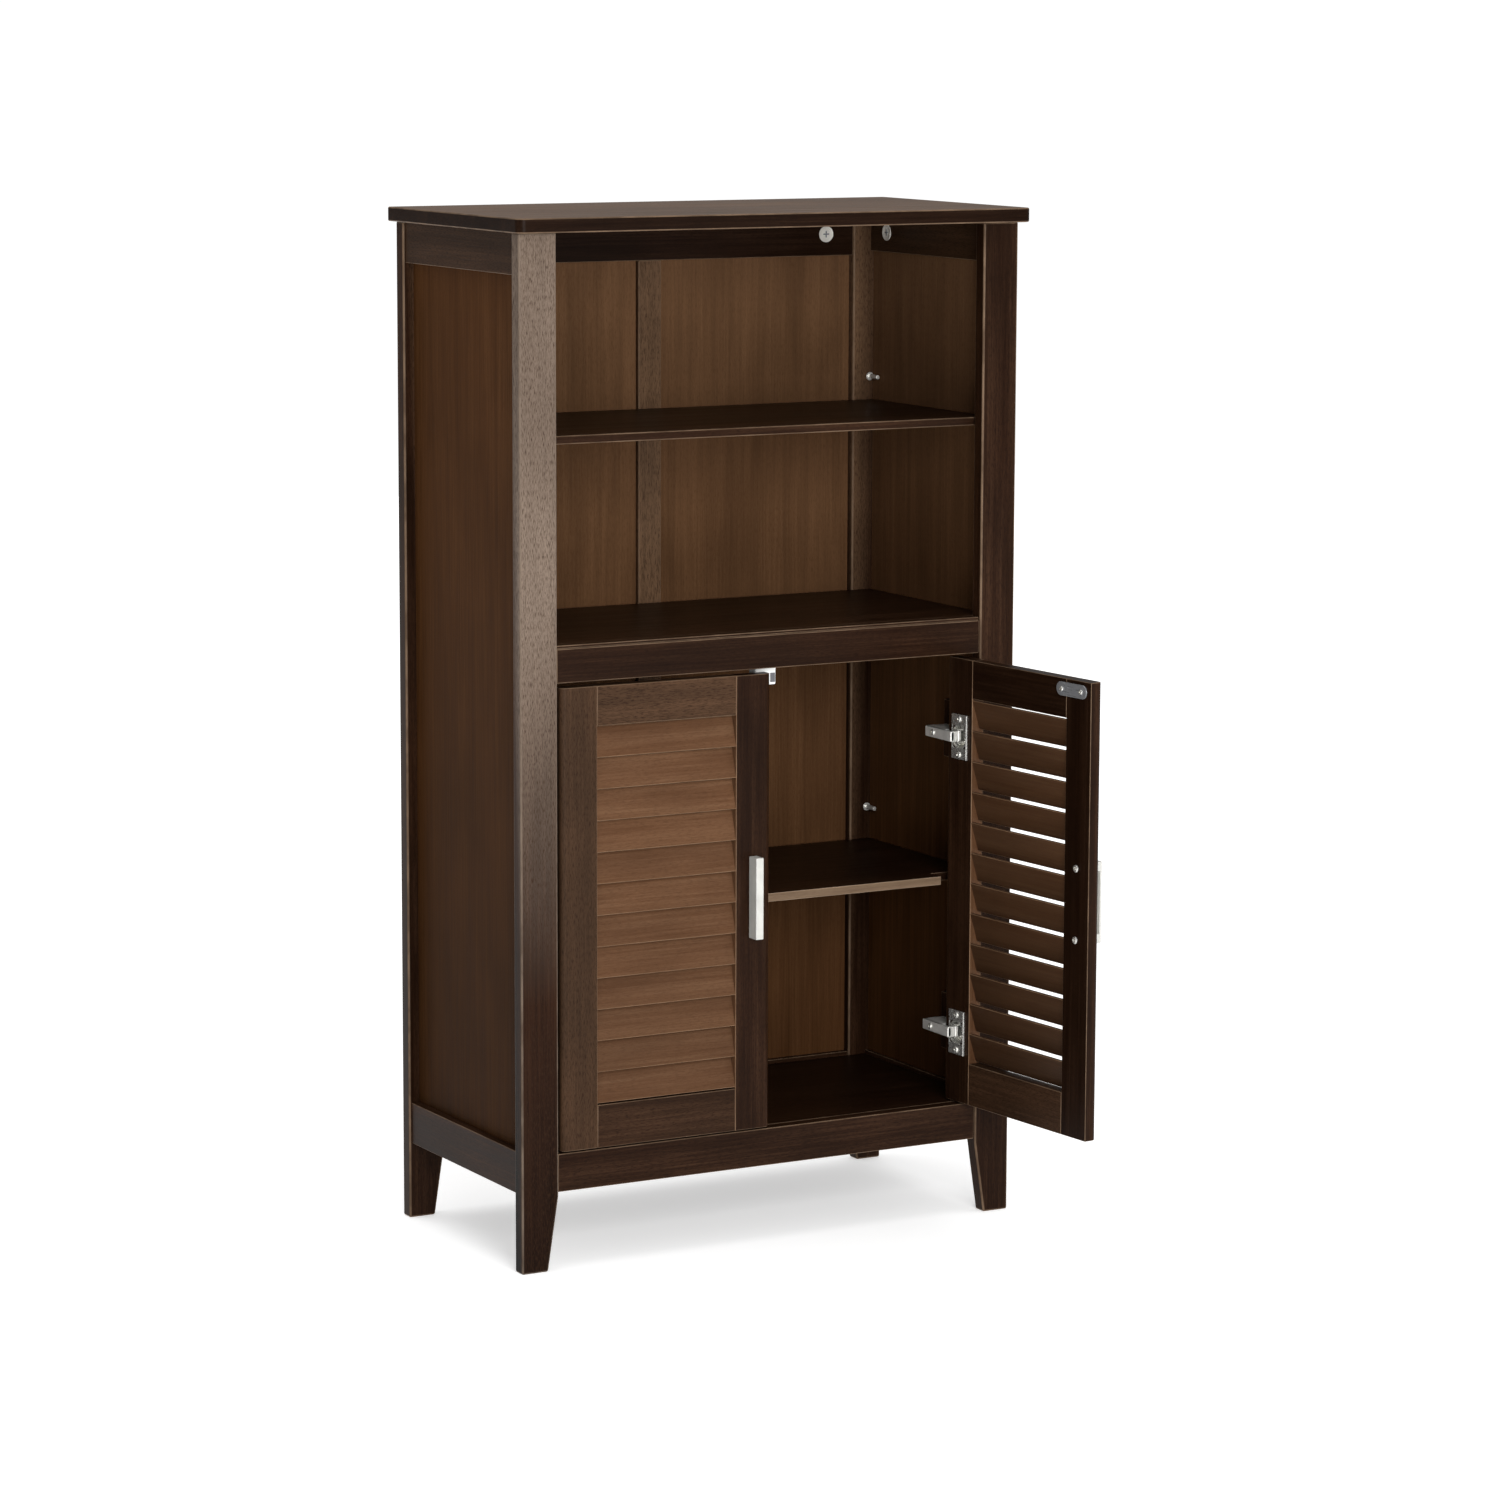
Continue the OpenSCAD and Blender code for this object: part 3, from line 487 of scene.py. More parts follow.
lo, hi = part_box("shelf_middle")
rail_lo, rail_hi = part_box("front_rail_middle")
bay_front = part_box("post_front_left")[1].y
post_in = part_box("front_rail_middle")[1].x
lip = box((-post_in, lo.y, rail_hi.z), (post_in, bay_front + 0.5 * MM, hi.z))
slab = box((lo.x, bay_front, lo.z), (hi.x, hi.y, hi.z))
place("shelf_middle_board", join(bevel(lip, 1.1 * MM, 4), bevel(slab, 0.5 * MM)), "cabinet",
      ["shelf_middle"], FRAME, "x")
# Bottom shelf dimmed: painted shade inside the case.
board("shelf_bottom", "x", tone=-0.4)
board("shelf_upper", "x", None, 1.4)
lo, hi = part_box("shelf_lower")
notch_x, notch_y = post_in - 32 * MM, bay_front + 26 * MM
shape = [(-notch_x, lo.y), (notch_x, lo.y), (notch_x, notch_y), (hi.x, notch_y), (hi.x, hi.y),
         (lo.x, hi.y), (lo.x, notch_y), (-notch_x, notch_y)]
front_y = lo.y
# Lower shelf dimmed: painted shade inside the case.
place("shelf_lower_board", bevel(prism(shape, 2, lo.z, hi.z), 0.7 * MM), "cabinet", ["shelf_lower"],
      FRAME, "x", tone=-0.35, paint=(RAW, lambda p: p.normal.y < -0.5 and p.center.y < front_y + 2 * MM))


# ------------------------------------------------------------------ small hardware

PEG_R, PEG_IN, PEG_OUT = 2.5 * MM, 9 * MM, 18 * MM
COLLAR_R, COLLAR_T = 4.5 * MM, 1.5 * MM
SCREW_R = 1.75 * MM


def pin_shape(x, y_face, z, f):
    """A shelf pin whose collar lies on a post's face and whose stub stands out along -f."""
    return ring((x, y_face, z), (0, -f, 0),
                [(0, -PEG_IN), (PEG_R - 0.3 * MM, -PEG_IN), (PEG_R, 0.4 * MM - PEG_IN), (PEG_R, 0),
                 (COLLAR_R - 0.2 * MM, 0), (COLLAR_R, 0.3 * MM), (COLLAR_R, COLLAR_T - 0.4 * MM),
                 (COLLAR_R - 0.4 * MM, COLLAR_T), (PEG_R, COLLAR_T), (PEG_R, PEG_OUT - 0.8 * MM),
                 (PEG_R - 0.3 * MM, PEG_OUT - 0.2 * MM), (PEG_R - 1 * MM, PEG_OUT), (0, PEG_OUT)], 28)


bay_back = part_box("post_back_left")[0].y
pin_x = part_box("shelf_pins")[1].x - COLLAR_R
pin_drop = 11.5 * MM
uppers = (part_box("shelf_upper")[1].z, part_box("shelf_lower")[1].z)
pins = [pin_shape(s * pin_x, f * bay_back, z - pin_drop, f)
        for s in (-1, 1) for f in (-1, 1) for z in uppers]
place("shelf_pin_set", join(*pins), "cabinet", ["shelf_pins"], SATIN)
k_lo, k_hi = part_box("keeper_pins")
keepers = [pin_shape(s * pin_x, bay_back, z, 1)
           for s in (-1, 1) for z in (k_hi.z - COLLAR_R, k_lo.z + COLLAR_R)]
place("keeper_pin_set", join(*keepers), "cabinet", ["keeper_pins"], SATIN)


def geometry_group(name):
    g = bpy.data.node_groups.new(name, "GeometryNodeTree")
    g.interface.new_socket("Geometry", in_out="INPUT", socket_type="NodeSocketGeometry")
    g.interface.new_socket("Geometry", in_out="OUTPUT", socket_type="NodeSocketGeometry")
    n = g.nodes
    return g, n, g.links, n.new("NodeGroupInput"), n.new("NodeGroupOutput")


def scatter_group():
    """Puts one head on every point, turned to the point's dir and spun by a seeded amount."""
    g, n, links, gin, gout = geometry_group("place_heads")
    for nm, kind in (("Head", "NodeSocketObject"), ("Size", "NodeSocketFloat"),
                     ("Seed", "NodeSocketInt"), ("Material", "NodeSocketMaterial")):
        g.interface.new_socket(nm, in_out="INPUT", socket_type=kind)
    info = n.new("GeometryNodeObjectInfo")
    links.new(gin.outputs["Head"], info.inputs["Object"])
    d = n.new("GeometryNodeInputNamedAttribute")
    d.data_type = "FLOAT_VECTOR"
    d.inputs["Name"].default_value = "dir"
    al = n.new("FunctionNodeAlignRotationToVector")
    al.axis = "Z"
    links.new(d.outputs["Attribute"], al.inputs["Vector"])
    rnd = n.new("FunctionNodeRandomValue")
    rnd.data_type = "FLOAT"
    rnd.inputs[3].default_value = 6.283
    links.new(gin.outputs["Seed"], rnd.inputs["Seed"])
    spin = n.new("FunctionNodeAxisAngleToRotation")
    links.new(rnd.outputs[1], spin.inputs["Angle"])
    rot = n.new("FunctionNodeRotateRotation")
    rot.rotation_space = "LOCAL"
    links.new(al.outputs[0], rot.inputs[0])
    links.new(spin.outputs[0], rot.inputs[1])
    inst = n.new("GeometryNodeInstanceOnPoints")
    links.new(gin.outputs["Geometry"], inst.inputs["Points"])
    links.new(info.outputs["Geometry"], inst.inputs["Instance"])
    links.new(rot.outputs[0], inst.inputs["Rotation"])
    links.new(gin.outputs["Size"], inst.inputs["Scale"])
    real = n.new("GeometryNodeRealizeInstances")
    links.new(inst.outputs[0], real.inputs[0])
    mat = n.new("GeometryNodeSetMaterial")
    links.new(real.outputs[0], mat.inputs["Geometry"])
    links.new(gin.outputs["Material"], mat.inputs["Material"])
    links.new(mat.outputs[0], gout.inputs[0])
    return g


def run_group(o, group, values):
    """Runs a node tree on o and gives back the finished plain mesh."""
    mod = o.modifiers.new("nodes", "NODES")
    mod.node_group = group
    for item in group.interface.items_tree:
        if item.in_out == "INPUT" and item.name in values:
            mod[item.identifier] = values[item.name]
    return final_mesh(o)


def cross_head(r, h, name):
    """A domed screw head of radius r with a cross cut into it; its seat lies at z = 0."""
    dome = ring((0, 0, 0), (0, 0, 1), [(0, 0), (r * 0.96, 0), (r, 0.12 * h), (r * 0.97, 0.5 * h),
                                       (r * 0.8, 0.82 * h), (r * 0.5, 0.97 * h), (0, h)], 32)
    half_w, half_l = r * 0.13, r * 0.62
    bm = cut(dome, *[box((-a, -b, 0.35 * h), (a, b, 2 * h)) for a, b in ((half_l, half_w), (half_w, half_l))])
    me = bpy.data.meshes.new(name)
    bm.to_mesh(me)
    bm.free()
    return add_object(name, me)


HEADS = scatter_group()
HEAD = cross_head(1.0 * MM, 0.5 * MM, "head_shape")


def screws(name, body, nodes, points, size, shafts, move=None, seed=1):
    """Cross heads at points, each a (place, direction) pair, with plain shafts behind them."""
    me = bpy.data.meshes.new(name)
    me.from_pydata([tuple(p) for p, d in points], [], [])
    a = me.attributes.new("dir", "FLOAT_VECTOR", "POINT")
    a.data.foreach_set("vector", [x for p, d in points for x in d])
    o = add_object(name, me)
    heads = run_group(o, HEADS, {"Head": HEAD, "Size": size, "Seed": seed, "Material": STEEL})
    bpy.data.objects.remove(o)
    bm = bmesh.new()
    bm.from_mesh(heads)
    bpy.data.meshes.remove(heads)
    rods = [ring(p, d, [(0, -l), (r, -l), (r, 0), (0, 0)], 16) for (p, d), (r, l) in zip(points, shafts)]
    return place(name, join(bm, *rods), body, nodes, STEEL, move=move, smooth=28)


def cam_disc(centre, out, up):
    """A cam's slotted face with its rim; out is the way the face looks."""
    z, y = Vector(out), Vector(up)
    x = y.cross(z)
    drum_r, rim_r, depth, floor_z = 7.5 * MM, 8.8 * MM, 11 * MM, 0.1 * MM
    disc = ring(centre, z, [(0, floor_z), (5.6 * MM, floor_z), (6.0 * MM, 0.45 * MM), (7.4 * MM, 0.5 * MM),
                            (8.4 * MM, 0.8 * MM), (rim_r, 0.4 * MM), (rim_r, 0), (drum_r, 0),
                            (drum_r, -depth), (0, -depth)], 44)
    bars = []
    for a, b in ((x, y), (y, x)):
        bar = box((-3.6 * MM, -0.75 * MM, 0.05 * MM), (3.6 * MM, 0.75 * MM, 0.62 * MM))
        bevel(bar, 0.2 * MM, 2)
        m = Matrix((a, b, z)).transposed().to_4x4()
        m.translation = Vector(centre)
        bmesh.ops.transform(bar, matrix=m, verts=bar.verts)
        if m.determinant() < 0:
            bmesh.ops.reverse_faces(bar, faces=bar.faces)
        bars.append(bar)
    return [disc, *bars]


cams = []
cam_in = 34 * MM
rail_mid = {n: (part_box(n)[0].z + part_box(n)[1].z) / 2 for n in
            ("back_rail_top", "back_rail_bottom", "front_rail_middle", "front_rail_bottom",
             "side_rail_top_left", "side_rail_bottom_left")}
rail_mid["front_rail_middle"] = (rail_lo.z + rail_hi.z) / 2
for s in (-1, 1):
    for n in ("back_rail_top", "back_rail_bottom"):
        cams += cam_disc((s * (post_in - cam_in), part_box(n)[0].y, rail_mid[n]), (0, -1, 0), (0, 0, 1))
    for n in ("front_rail_middle", "front_rail_bottom"):
        cams += cam_disc((s * (post_in - cam_in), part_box(n)[1].y, rail_mid[n]), (0, 1, 0), (0, 0, 1))
    side_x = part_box("side_rail_top_right")[0].x
    for n in ("side_rail_top_left", "side_rail_bottom_left"):
        cams += cam_disc((s * side_x, bay_back - cam_in, rail_mid[n]), (-s, 0, 0), (0, 0, 1))
disc_n, bar_n = len(cams[0].faces), len(cams[1].faces)
# The cams' cross bars are painted dark: painted shade standing for the slot's depth.
place("cam_lock_set", join(*cams), "cabinet", ["cam_locks"], ZINC,
      paint=(DULL_STEEL_AND_PAINTED_SHADE, lambda p: p.index % (disc_n + 2 * bar_n) >= disc_n))

# magnetic catch
lo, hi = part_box("catch_body")
m_lo, m_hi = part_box("catch_magnets")
s_lo, s_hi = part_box("catch_screws")
body_top = rail_lo.z
case = [bevel(box((lo.x, lo.y, lo.z), (hi.x, hi.y, body_top)), 1.5 * MM, 4),
        bevel(box((lo.x, bay_front, body_top - 3 * MM), (hi.x, hi.y, hi.z)), 0.4 * MM, 3)]
place("catch_case", join(*case), "cabinet", ["catch_body"], WHITE)
mag_w = 6 * MM
mags = [bevel(box((x, m_lo.y - 0.2 * MM, m_lo.z), (x + mag_w, m_hi.y, m_hi.z)), 0.4 * MM, 2)
        for x in (m_lo.x, m_hi.x - mag_w)]
place("catch_magnet_pair", join(*mags), "cabinet", ["catch_magnets"], MAGNET)
screw_z = (s_lo.z + s_hi.z) / 2
screws("catch_screw_pair", "cabinet", ["catch_screws"],
       [((s * 6 * MM, hi.y, screw_z), (0, 1, 0)) for s in (-1, 1)], 3.2, [(SCREW_R, 15 * MM)] * 2)

# hinge blocks, plates and arms on the case
b_lo, b_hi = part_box("hinge_blocks")
block_h, block_x = 62 * MM, post_in + 0.5 * MM
hinge_z = (b_lo.z + block_h / 2, b_hi.z - block_h / 2)
blocks = [bevel(box((min(s * block_x, s * b_hi.x), b_lo.y, z - block_h / 2),
                    (max(s * block_x, s * b_hi.x), b_hi.y, z + block_h / 2)), 1.0 * MM)
          for s in (-1, 1) for z in hinge_z]
place("hinge_block_set", join(*blocks), "cabinet", ["hinge_blocks"], FRAME, "z")
p_lo, p_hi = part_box("hinge_plates")
plate_t = 2.5 * MM
plates, arms = [], []
arm_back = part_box("hinge_arms")[1].y
arm_half, eye_half, eye_r, flange_w = 5.5 * MM, 2.5 * MM, 3 * MM, 1.6 * MM
arm_x = PIN.x - 11 * MM
ya, yb, yc, yd = p_lo.y, p_lo.y + 7 * MM, p_hi.y - 7 * MM, p_hi.y
tall, step, wing = 22 * MM, 8 * MM, 6 * MM
for s in (-1, 1):
    for z in hinge_z:
        x0, x1 = sorted((s * (block_x - plate_t), s * block_x))
        outline = [(yb, z - tall), (yc, z - tall), (yc, z - step), (yd, z - wing), (yd, z + wing),
                   (yc, z + step), (yc, z + tall), (yb, z + tall), (yb, z + step), (ya, z + wing),
                   (ya, z - wing), (yb, z - step)]
        plates.append(bevel(prism(outline, 0, x0, x1), 0.5 * MM, 2, 60))
        w, y0, y1 = arm_half, PIN.y - eye_half, PIN.y + eye_half
        xa, xb = sorted((s * arm_x, s * (arm_x + 4.9 * MM)))
        arms.append(bevel(box((xa, y0, z - w), (xb, arm_back, z + w)), 1.2 * MM, 4))
        xa, xb = sorted((s * (arm_x + 1 * MM), s * PIN.x))
        arms.append(bevel(box((xa, y0, z - w), (xb, y1, z + w)), 0.4 * MM, 2))
        arms.append(ring((s * PIN.x, PIN.y, z), (0, 0, 1),
                         [(0, -w), (eye_r - 0.2 * MM, -w), (eye_r, -w + 0.3 * MM), (eye_r, w - 0.3 * MM),
                          (eye_r - 0.2 * MM, w), (0, w)], 28))
        xa, xb = sorted((s * (arm_x + 1 * MM), s * (block_x - plate_t)))
        for dz in (-w, w - flange_w):
            arms.append(bevel(box((xa, PIN.y + 16 * MM, z + dz), (xb, arm_back, z + dz + flange_w)),
                              0.4 * MM, 2))
place("hinge_plate_set", join(*plates), "cabinet", ["hinge_plates"], STEEL)
place("hinge_arm_set", join(*arms), "cabinet", ["hinge_arms"], SATIN)
plate_y = (p_lo.y + p_hi.y) / 2
pts = [((s * (block_x - plate_t), plate_y, z + dz), (-s, 0, 0))
       for s in (-1, 1) for z in hinge_z for dz in (-16 * MM, 16 * MM)]
pts += [((s * arm_x, plate_y, z), (-s, 0, 0)) for s in (-1, 1) for z in hinge_z]
screws("hinge_arm_screw_set", "cabinet", ["hinge_arm_screws"], pts, 3.4,
       [(SCREW_R, 16 * MM)] * 8 + [(SCREW_R, 20 * MM)] * 4, seed=3)

# ------------------------------------------------------------------ doors
# Both doors are drawn closed on the right, then mirrored or turned open about their pins.

MIRROR = Matrix.Scale(-1, 4, (1, 0, 0))
TURN = Matrix.Translation(PIN) @ Matrix.Rotation(OPEN, 4, "Z") @ Matrix.Translation(-PIN)
h_lo, h_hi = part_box("door_left_stile_hinge")
front, inner = h_lo.y, h_hi.y
z0, z1 = h_lo.z, h_hi.z
edge, free = -h_lo.x, -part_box("door_left_stile_free")[1].x
stile = h_hi.x - h_lo.x
open_z0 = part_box("door_left_rail_bottom")[1].z
open_z1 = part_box("door_left_rail_top")[0].z
slat_gap = 1.6 * MM
slat_n, slat_t, slat_lean, slat_set, slat_tongue = 12, 4.8 * MM, 9.5 * MM, 0.5 * MM, 5 * MM
cup_r, cup_depth, cup_wall = 13 * MM, 9 * MM, 1.2 * MM
flange_half, flange_t, cup_screw = 24 * MM, 1.5 * MM, 19 * MM
handle_screw, strike_t, strike_screw = 37.5 * MM, 1.5 * MM, 16 * MM
pitch = (open_z1 - open_z0 - slat_gap) / slat_n
cup_x = edge - 20 * MM
hx_lo, hx_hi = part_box("door_left_handle")
k_lo, k_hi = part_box("door_left_strike")
strike_x, strike_z = -(k_lo.x + k_hi.x) / 2, (k_lo.z + k_hi.z) / 2
strike_hx, strike_r = (k_hi.x - k_lo.x) / 2, (k_hi.z - k_lo.z) / 2


def louvre_group():
    """Stacks one slat at an even pitch and shifts every slat's grain by a seeded amount."""
    g, n, links, gin, gout = geometry_group("stack_louvres")
    for nm, kind in (("Count", "NodeSocketInt"), ("Pitch", "NodeSocketFloat"),
                     ("Seed", "NodeSocketInt"), ("Material", "NodeSocketMaterial")):
        g.interface.new_socket(nm, in_out="INPUT", socket_type=kind)
    line = n.new("GeometryNodeMeshLine")
    off = n.new("ShaderNodeCombineXYZ")
    links.new(gin.outputs["Pitch"], off.inputs["Z"])
    links.new(gin.outputs["Count"], line.inputs["Count"])
    links.new(off.outputs[0], line.inputs["Offset"])
    inst = n.new("GeometryNodeInstanceOnPoints")
    links.new(line.outputs[0], inst.inputs["Points"])
    links.new(gin.outputs["Geometry"], inst.inputs["Instance"])
    rnd = n.new("FunctionNodeRandomValue")
    rnd.data_type = "FLOAT_VECTOR"
    rnd.inputs[1].default_value = (7.0, 3.0, 3.0)
    links.new(gin.outputs["Seed"], rnd.inputs["Seed"])
    keep = n.new("GeometryNodeStoreNamedAttribute")
    keep.data_type, keep.domain = "FLOAT_VECTOR", "INSTANCE"
    keep.inputs["Name"].default_value = "shift"
    links.new(inst.outputs[0], keep.inputs["Geometry"])
    links.new(rnd.outputs[0], keep.inputs["Value"])
    real = n.new("GeometryNodeRealizeInstances")
    links.new(keep.outputs[0], real.inputs[0])
    got = []
    for nm in ("grain", "shift"):
        a = n.new("GeometryNodeInputNamedAttribute")
        a.data_type = "FLOAT_VECTOR"
        a.inputs["Name"].default_value = nm
        got.append(a.outputs["Attribute"])
    add = n.new("ShaderNodeVectorMath")
    links.new(got[0], add.inputs[0])
    links.new(got[1], add.inputs[1])
    put = n.new("GeometryNodeStoreNamedAttribute")
    put.data_type, put.domain = "FLOAT_VECTOR", "POINT"
    put.inputs["Name"].default_value = "grain"
    links.new(real.outputs[0], put.inputs["Geometry"])
    links.new(add.outputs[0], put.inputs["Value"])
    mat = n.new("GeometryNodeSetMaterial")
    links.new(put.outputs[0], mat.inputs["Geometry"])
    links.new(gin.outputs["Material"], mat.inputs["Material"])
    links.new(mat.outputs[0], gout.inputs[0])
    return g


LOUVRES = louvre_group()


def louvres(side, move):
    h = pitch - slat_gap
    y, z = front + slat_set, open_z0 + slat_gap
    outline = [(y, z), (y + slat_t, z), (y + slat_t + slat_lean, z + h), (y + slat_lean, z + h)]
    x0, x1 = free + stile - slat_tongue, edge - stile + slat_tongue
    bm = bevel(prism(outline, 0, x0, x1), 0.9 * MM, 3)
    me = bpy.data.meshes.new("slat")
    bm.to_mesh(me)
    bm.free()
    add_grain(me, "x", "slat" + side)
    o = add_object("slat", me)
    out = run_group(o, LOUVRES, {"Count": slat_n, "Pitch": pitch, "Seed": 4 if side == "left" else 9,
                                 "Material": LOUVRE_AND_PAINTED_LIGHT})
    bpy.data.objects.remove(o)
    out.attributes.remove(out.attributes["shift"])

    def shade(co):
        """Painted shade: darker towards the floor, and on the open door's inner side."""
        rise = ((co.z - z + 1e-6) % pitch) / h
        back = side == "right" and co.y > y + slat_lean * rise + slat_t / 2
        return min(0.0, (co.z - 0.42) * 0.9) - (0.45 if back else 0.0)
    out.attributes["tone"].data.foreach_set("value", [shade(v.co) for v in out.vertices])
    out.transform(move)
    if move.determinant() < 0:
        out.flip_normals()
    o = add_object(f"door_{side}_louvres", out)
    settle(o, 40)
    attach(o, "door_" + side)
    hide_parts(f"door_{side}_slats")
    made.append(o)


def cup_pocket(z):
    """A bore a hair wider and deeper than the cup, open at the door's inner face."""
    r, depth, past = cup_r + 0.05 * MM, cup_depth + 0.05 * MM, 5 * MM
    return ring((cup_x, inner, z), (0, 1, 0), [(0, -depth), (r, -depth), (r, past), (0, past)], 48)


def stile_shape(x0, x1, round_x):
    bm = prism([(x0, front), (x1, front), (x1, inner), (x0, inner)], 2, z0, z1)
    bevel(bm, 5.8 * MM, 7, only=lambda e: all(abs(v.co.x - round_x) < 1e-5 and v.co.y < front + 1e-5
                                            for v in e.verts))
    bevel(bm, 0.8 * MM, 3)
    return bm


def cup_shape(z):
    """The pressed cup with its flange, raised far edge and the two ears for the pin."""
    hollow = cup_r - cup_wall
    parts = [ring((cup_x, inner, z), (0, 1, 0),
                  [(0, -cup_depth), (cup_r - 0.6 * MM, -cup_depth), (cup_r, 0.6 * MM - cup_depth),
                   (cup_r, 0.2 * MM), (cup_r - 0.2 * MM, 1.6 * MM), (cup_r - 1 * MM, 1.7 * MM),
                   (hollow, 1.2 * MM), (hollow, cup_wall - cup_depth), (0, cup_wall - cup_depth)], 48)]
    x0, x1 = edge - 34 * MM, edge - 6.5 * MM
    top, bite = flange_half, 11.9 * MM
    for lo_z, hi_z in ((z - top, z - bite), (z + bite, z + top)):
        parts.append(bevel(box((x0, inner, lo_z), (x1, inner + flange_t, hi_z)), 0.5 * MM, 2))
    parts.append(bevel(box((x0, inner, z - top), (x0 + 2 * MM, inner + 2.5 * MM, z + top)), 0.5 * MM, 3))
    parts.append(bevel(box((x1 - 1.6 * MM, inner, z - 12.5 * MM), (x1, inner + flange_t, z + 12.5 * MM)),
                       0.4 * MM, 2))
    for dz in (-8 * MM, 5.8 * MM):
        parts.append(bevel(box((PIN.x - 2.2 * MM, inner - 8.4 * MM, z + dz),
                               (PIN.x + 2.2 * MM, inner + 0.8 * MM, z + dz + 2.2 * MM)), 0.4 * MM, 2))
    return parts


def hinge_pin(z):
    r, half, soft = 1.5 * MM, 8 * MM, 0.2 * MM
    return ring((PIN.x, PIN.y, z), (0, 0, 1), [(0, -half), (r - soft, -half), (r, 0.3 * MM - half),
                                               (r, half - 0.3 * MM), (r - soft, half), (0, half)], 20)


def handle_shape():
    """A bar with solid ends, hollowed from the side of the door's free edge."""
    x0, x1 = -hx_hi.x, -hx_lo.x
    y0, y1 = hx_lo.y, hx_hi.y
    za, zb = hx_lo.z, hx_hi.z
    e, web, lip, base = 10 * MM, 2.5 * MM, 2.5 * MM, 2 * MM
    c_shape = [(x0, y0), (x1, y0), (x1, y1), (x0, y1), (x0, y1 - base), (x1 - web, y1 - base),
               (x1 - web, y0 + lip), (x0, y0 + lip)]
    return [bevel(prism(c_shape, 2, za + e - 0.5 * MM, zb - e + 0.5 * MM), 0.7 * MM, 3, 60),
            bevel(box((x0, y0, za), (x1, y1, za + e)), 0.7 * MM, 3),
            bevel(box((x0, y0, zb - e), (x1, y1, zb)), 0.7 * MM, 3)]


def strike_shape():
    pts = []
    for sx, a0 in ((1, -90), (-1, 90)):
        cx = strike_x + sx * (strike_hx - strike_r)
        pts += [(cx + strike_r * math.cos(math.radians(a0 + 12 * k)),
                 strike_z + strike_r * math.sin(math.radians(a0 + 12 * k))) for k in range(16)]
    return bevel(prism(pts, 1, inner, inner + strike_t), 0.5 * MM, 3, 60)


for side, move in (("left", MIRROR), ("right", TURN)):
    body, pre = "door_" + side, f"door_{side}_"
    # The stiles' faces beside the slats take the louvre colour as a painted highlight where light falls on
    # them.
    hinge_stile = cut(stile_shape(edge - stile, edge, edge), *[cup_pocket(z) for z in hinge_z])
    # Hinge stile: outer faces lifted as painted sheen; the open door's inner face dimmed as painted shade.
    place(pre + "hinge_stile", hinge_stile, body, [pre + "stile_hinge"], FRAME, "z", move,
          tone=lambda co: -0.2 if side == "right" and co.y > inner - MM else 0.11,
          paint=(LOUVRE_AND_PAINTED_LIGHT, lambda p: p.normal.x < -0.5 and p.center.x < edge - stile + MM))
    free_stile = stile_shape(free, free + stile, free)
    # Free stile: the open door's inner face dimmed as painted shade.
    place(pre + "free_stile", free_stile, body, [pre + "stile_free"], FRAME, "z", move,
          tone=lambda co: -0.5 if side == "right" and co.y > inner - MM else 0.0,
          paint=(LOUVRE_AND_PAINTED_LIGHT, lambda p: p.normal.x > 0.5 and p.center.x > free + stile - MM))
    for nm, a, b in (("rail_top", open_z1, z1), ("rail_bottom", z0, open_z0)):
        bm = bevel(box((free + stile, front, a), (edge - stile, inner, b)), 0.8 * MM, 3)
        tongue = box((free + stile - 12 * MM, front + 5 * MM, a + 6 * MM),
                     (edge - stile + 12 * MM, front + 10 * MM, b - 6 * MM))
        # Rails: outer faces lifted as painted sheen, the top rail more; on the open door's inner face the top
        # rail is dimmed as painted shade.
        place(pre + nm + "_board", join(bm, tongue), body, [pre + nm], FRAME, "x", move,
              tone=lambda co: (0.11 if nm == "rail_top" else 0.03)
              if side == "left" or co.y < inner - MM else (-0.45 if nm == "rail_top" else 0.05))
    louvres(side, move)
    place(pre + "cup_pair", join(*[p for z in hinge_z for p in cup_shape(z)]), body,
          [pre + "hinge_cups"], STEEL, move=move)
    place(pre + "pin_pair", join(*[hinge_pin(z) for z in hinge_z]), body, [pre + "hinge_pins"], STEEL,
          move=move)
    screws(pre + "cup_screw_set", body, [pre + "cup_screws"],
           [((cup_x, inner + flange_t, z + dz), (0, 1, 0))
            for z in hinge_z for dz in (-cup_screw, cup_screw)],
           3.4, [(SCREW_R, 12 * MM)] * 4, move, 5)
    # The handle's rounded front corner on the hinge side is painted dark: a painted shade line between its
    # two faces.
    place(pre + "handle_bar", join(*handle_shape()), body, [pre + "handle"], NICKEL, "z", move,
          paint=(DULL_STEEL_AND_PAINTED_SHADE, lambda p: p.normal.x > 0.3 and p.normal.y < -0.3 and abs(p.normal.z) < 0.1))
    hx, hz = -(hx_lo.x + hx_hi.x) / 2, (hx_lo.z + hx_hi.z) / 2
    screws(pre + "handle_screw_pair", body, [pre + "handle_screws"],
           [((hx, inner, hz + dz), (0, 1, 0)) for dz in (-handle_screw, handle_screw)], 4.0,
           [(2 * MM, 23.5 * MM)] * 2, move, 7)
    place(pre + "strike_plate", strike_shape(), body, [pre + "strike"], DULL_STEEL_AND_PAINTED_SHADE, move=move)
    screws(pre + "strike_screw_pair", body, [pre + "strike_screws"],
           [((strike_x + dx, inner + strike_t, strike_z), (0, 1, 0))
            for dx in (-strike_screw, strike_screw)], 2.8, [(SCREW_R, 11 * MM)] * 2, move, 11)

bpy.data.objects.remove(HEAD)
for node, mat in (("cam_bolts", STEEL), ("dowels", DOWEL)):
    o = frame["nodes"][node]
    o.data.materials.clear()
    o.data.materials.append(mat)

# ------------------------------------------------------------------ studio

SKY, KEY, TOP, STRIP = 0.8, 90, 40, 1.0
FLOOR = 14

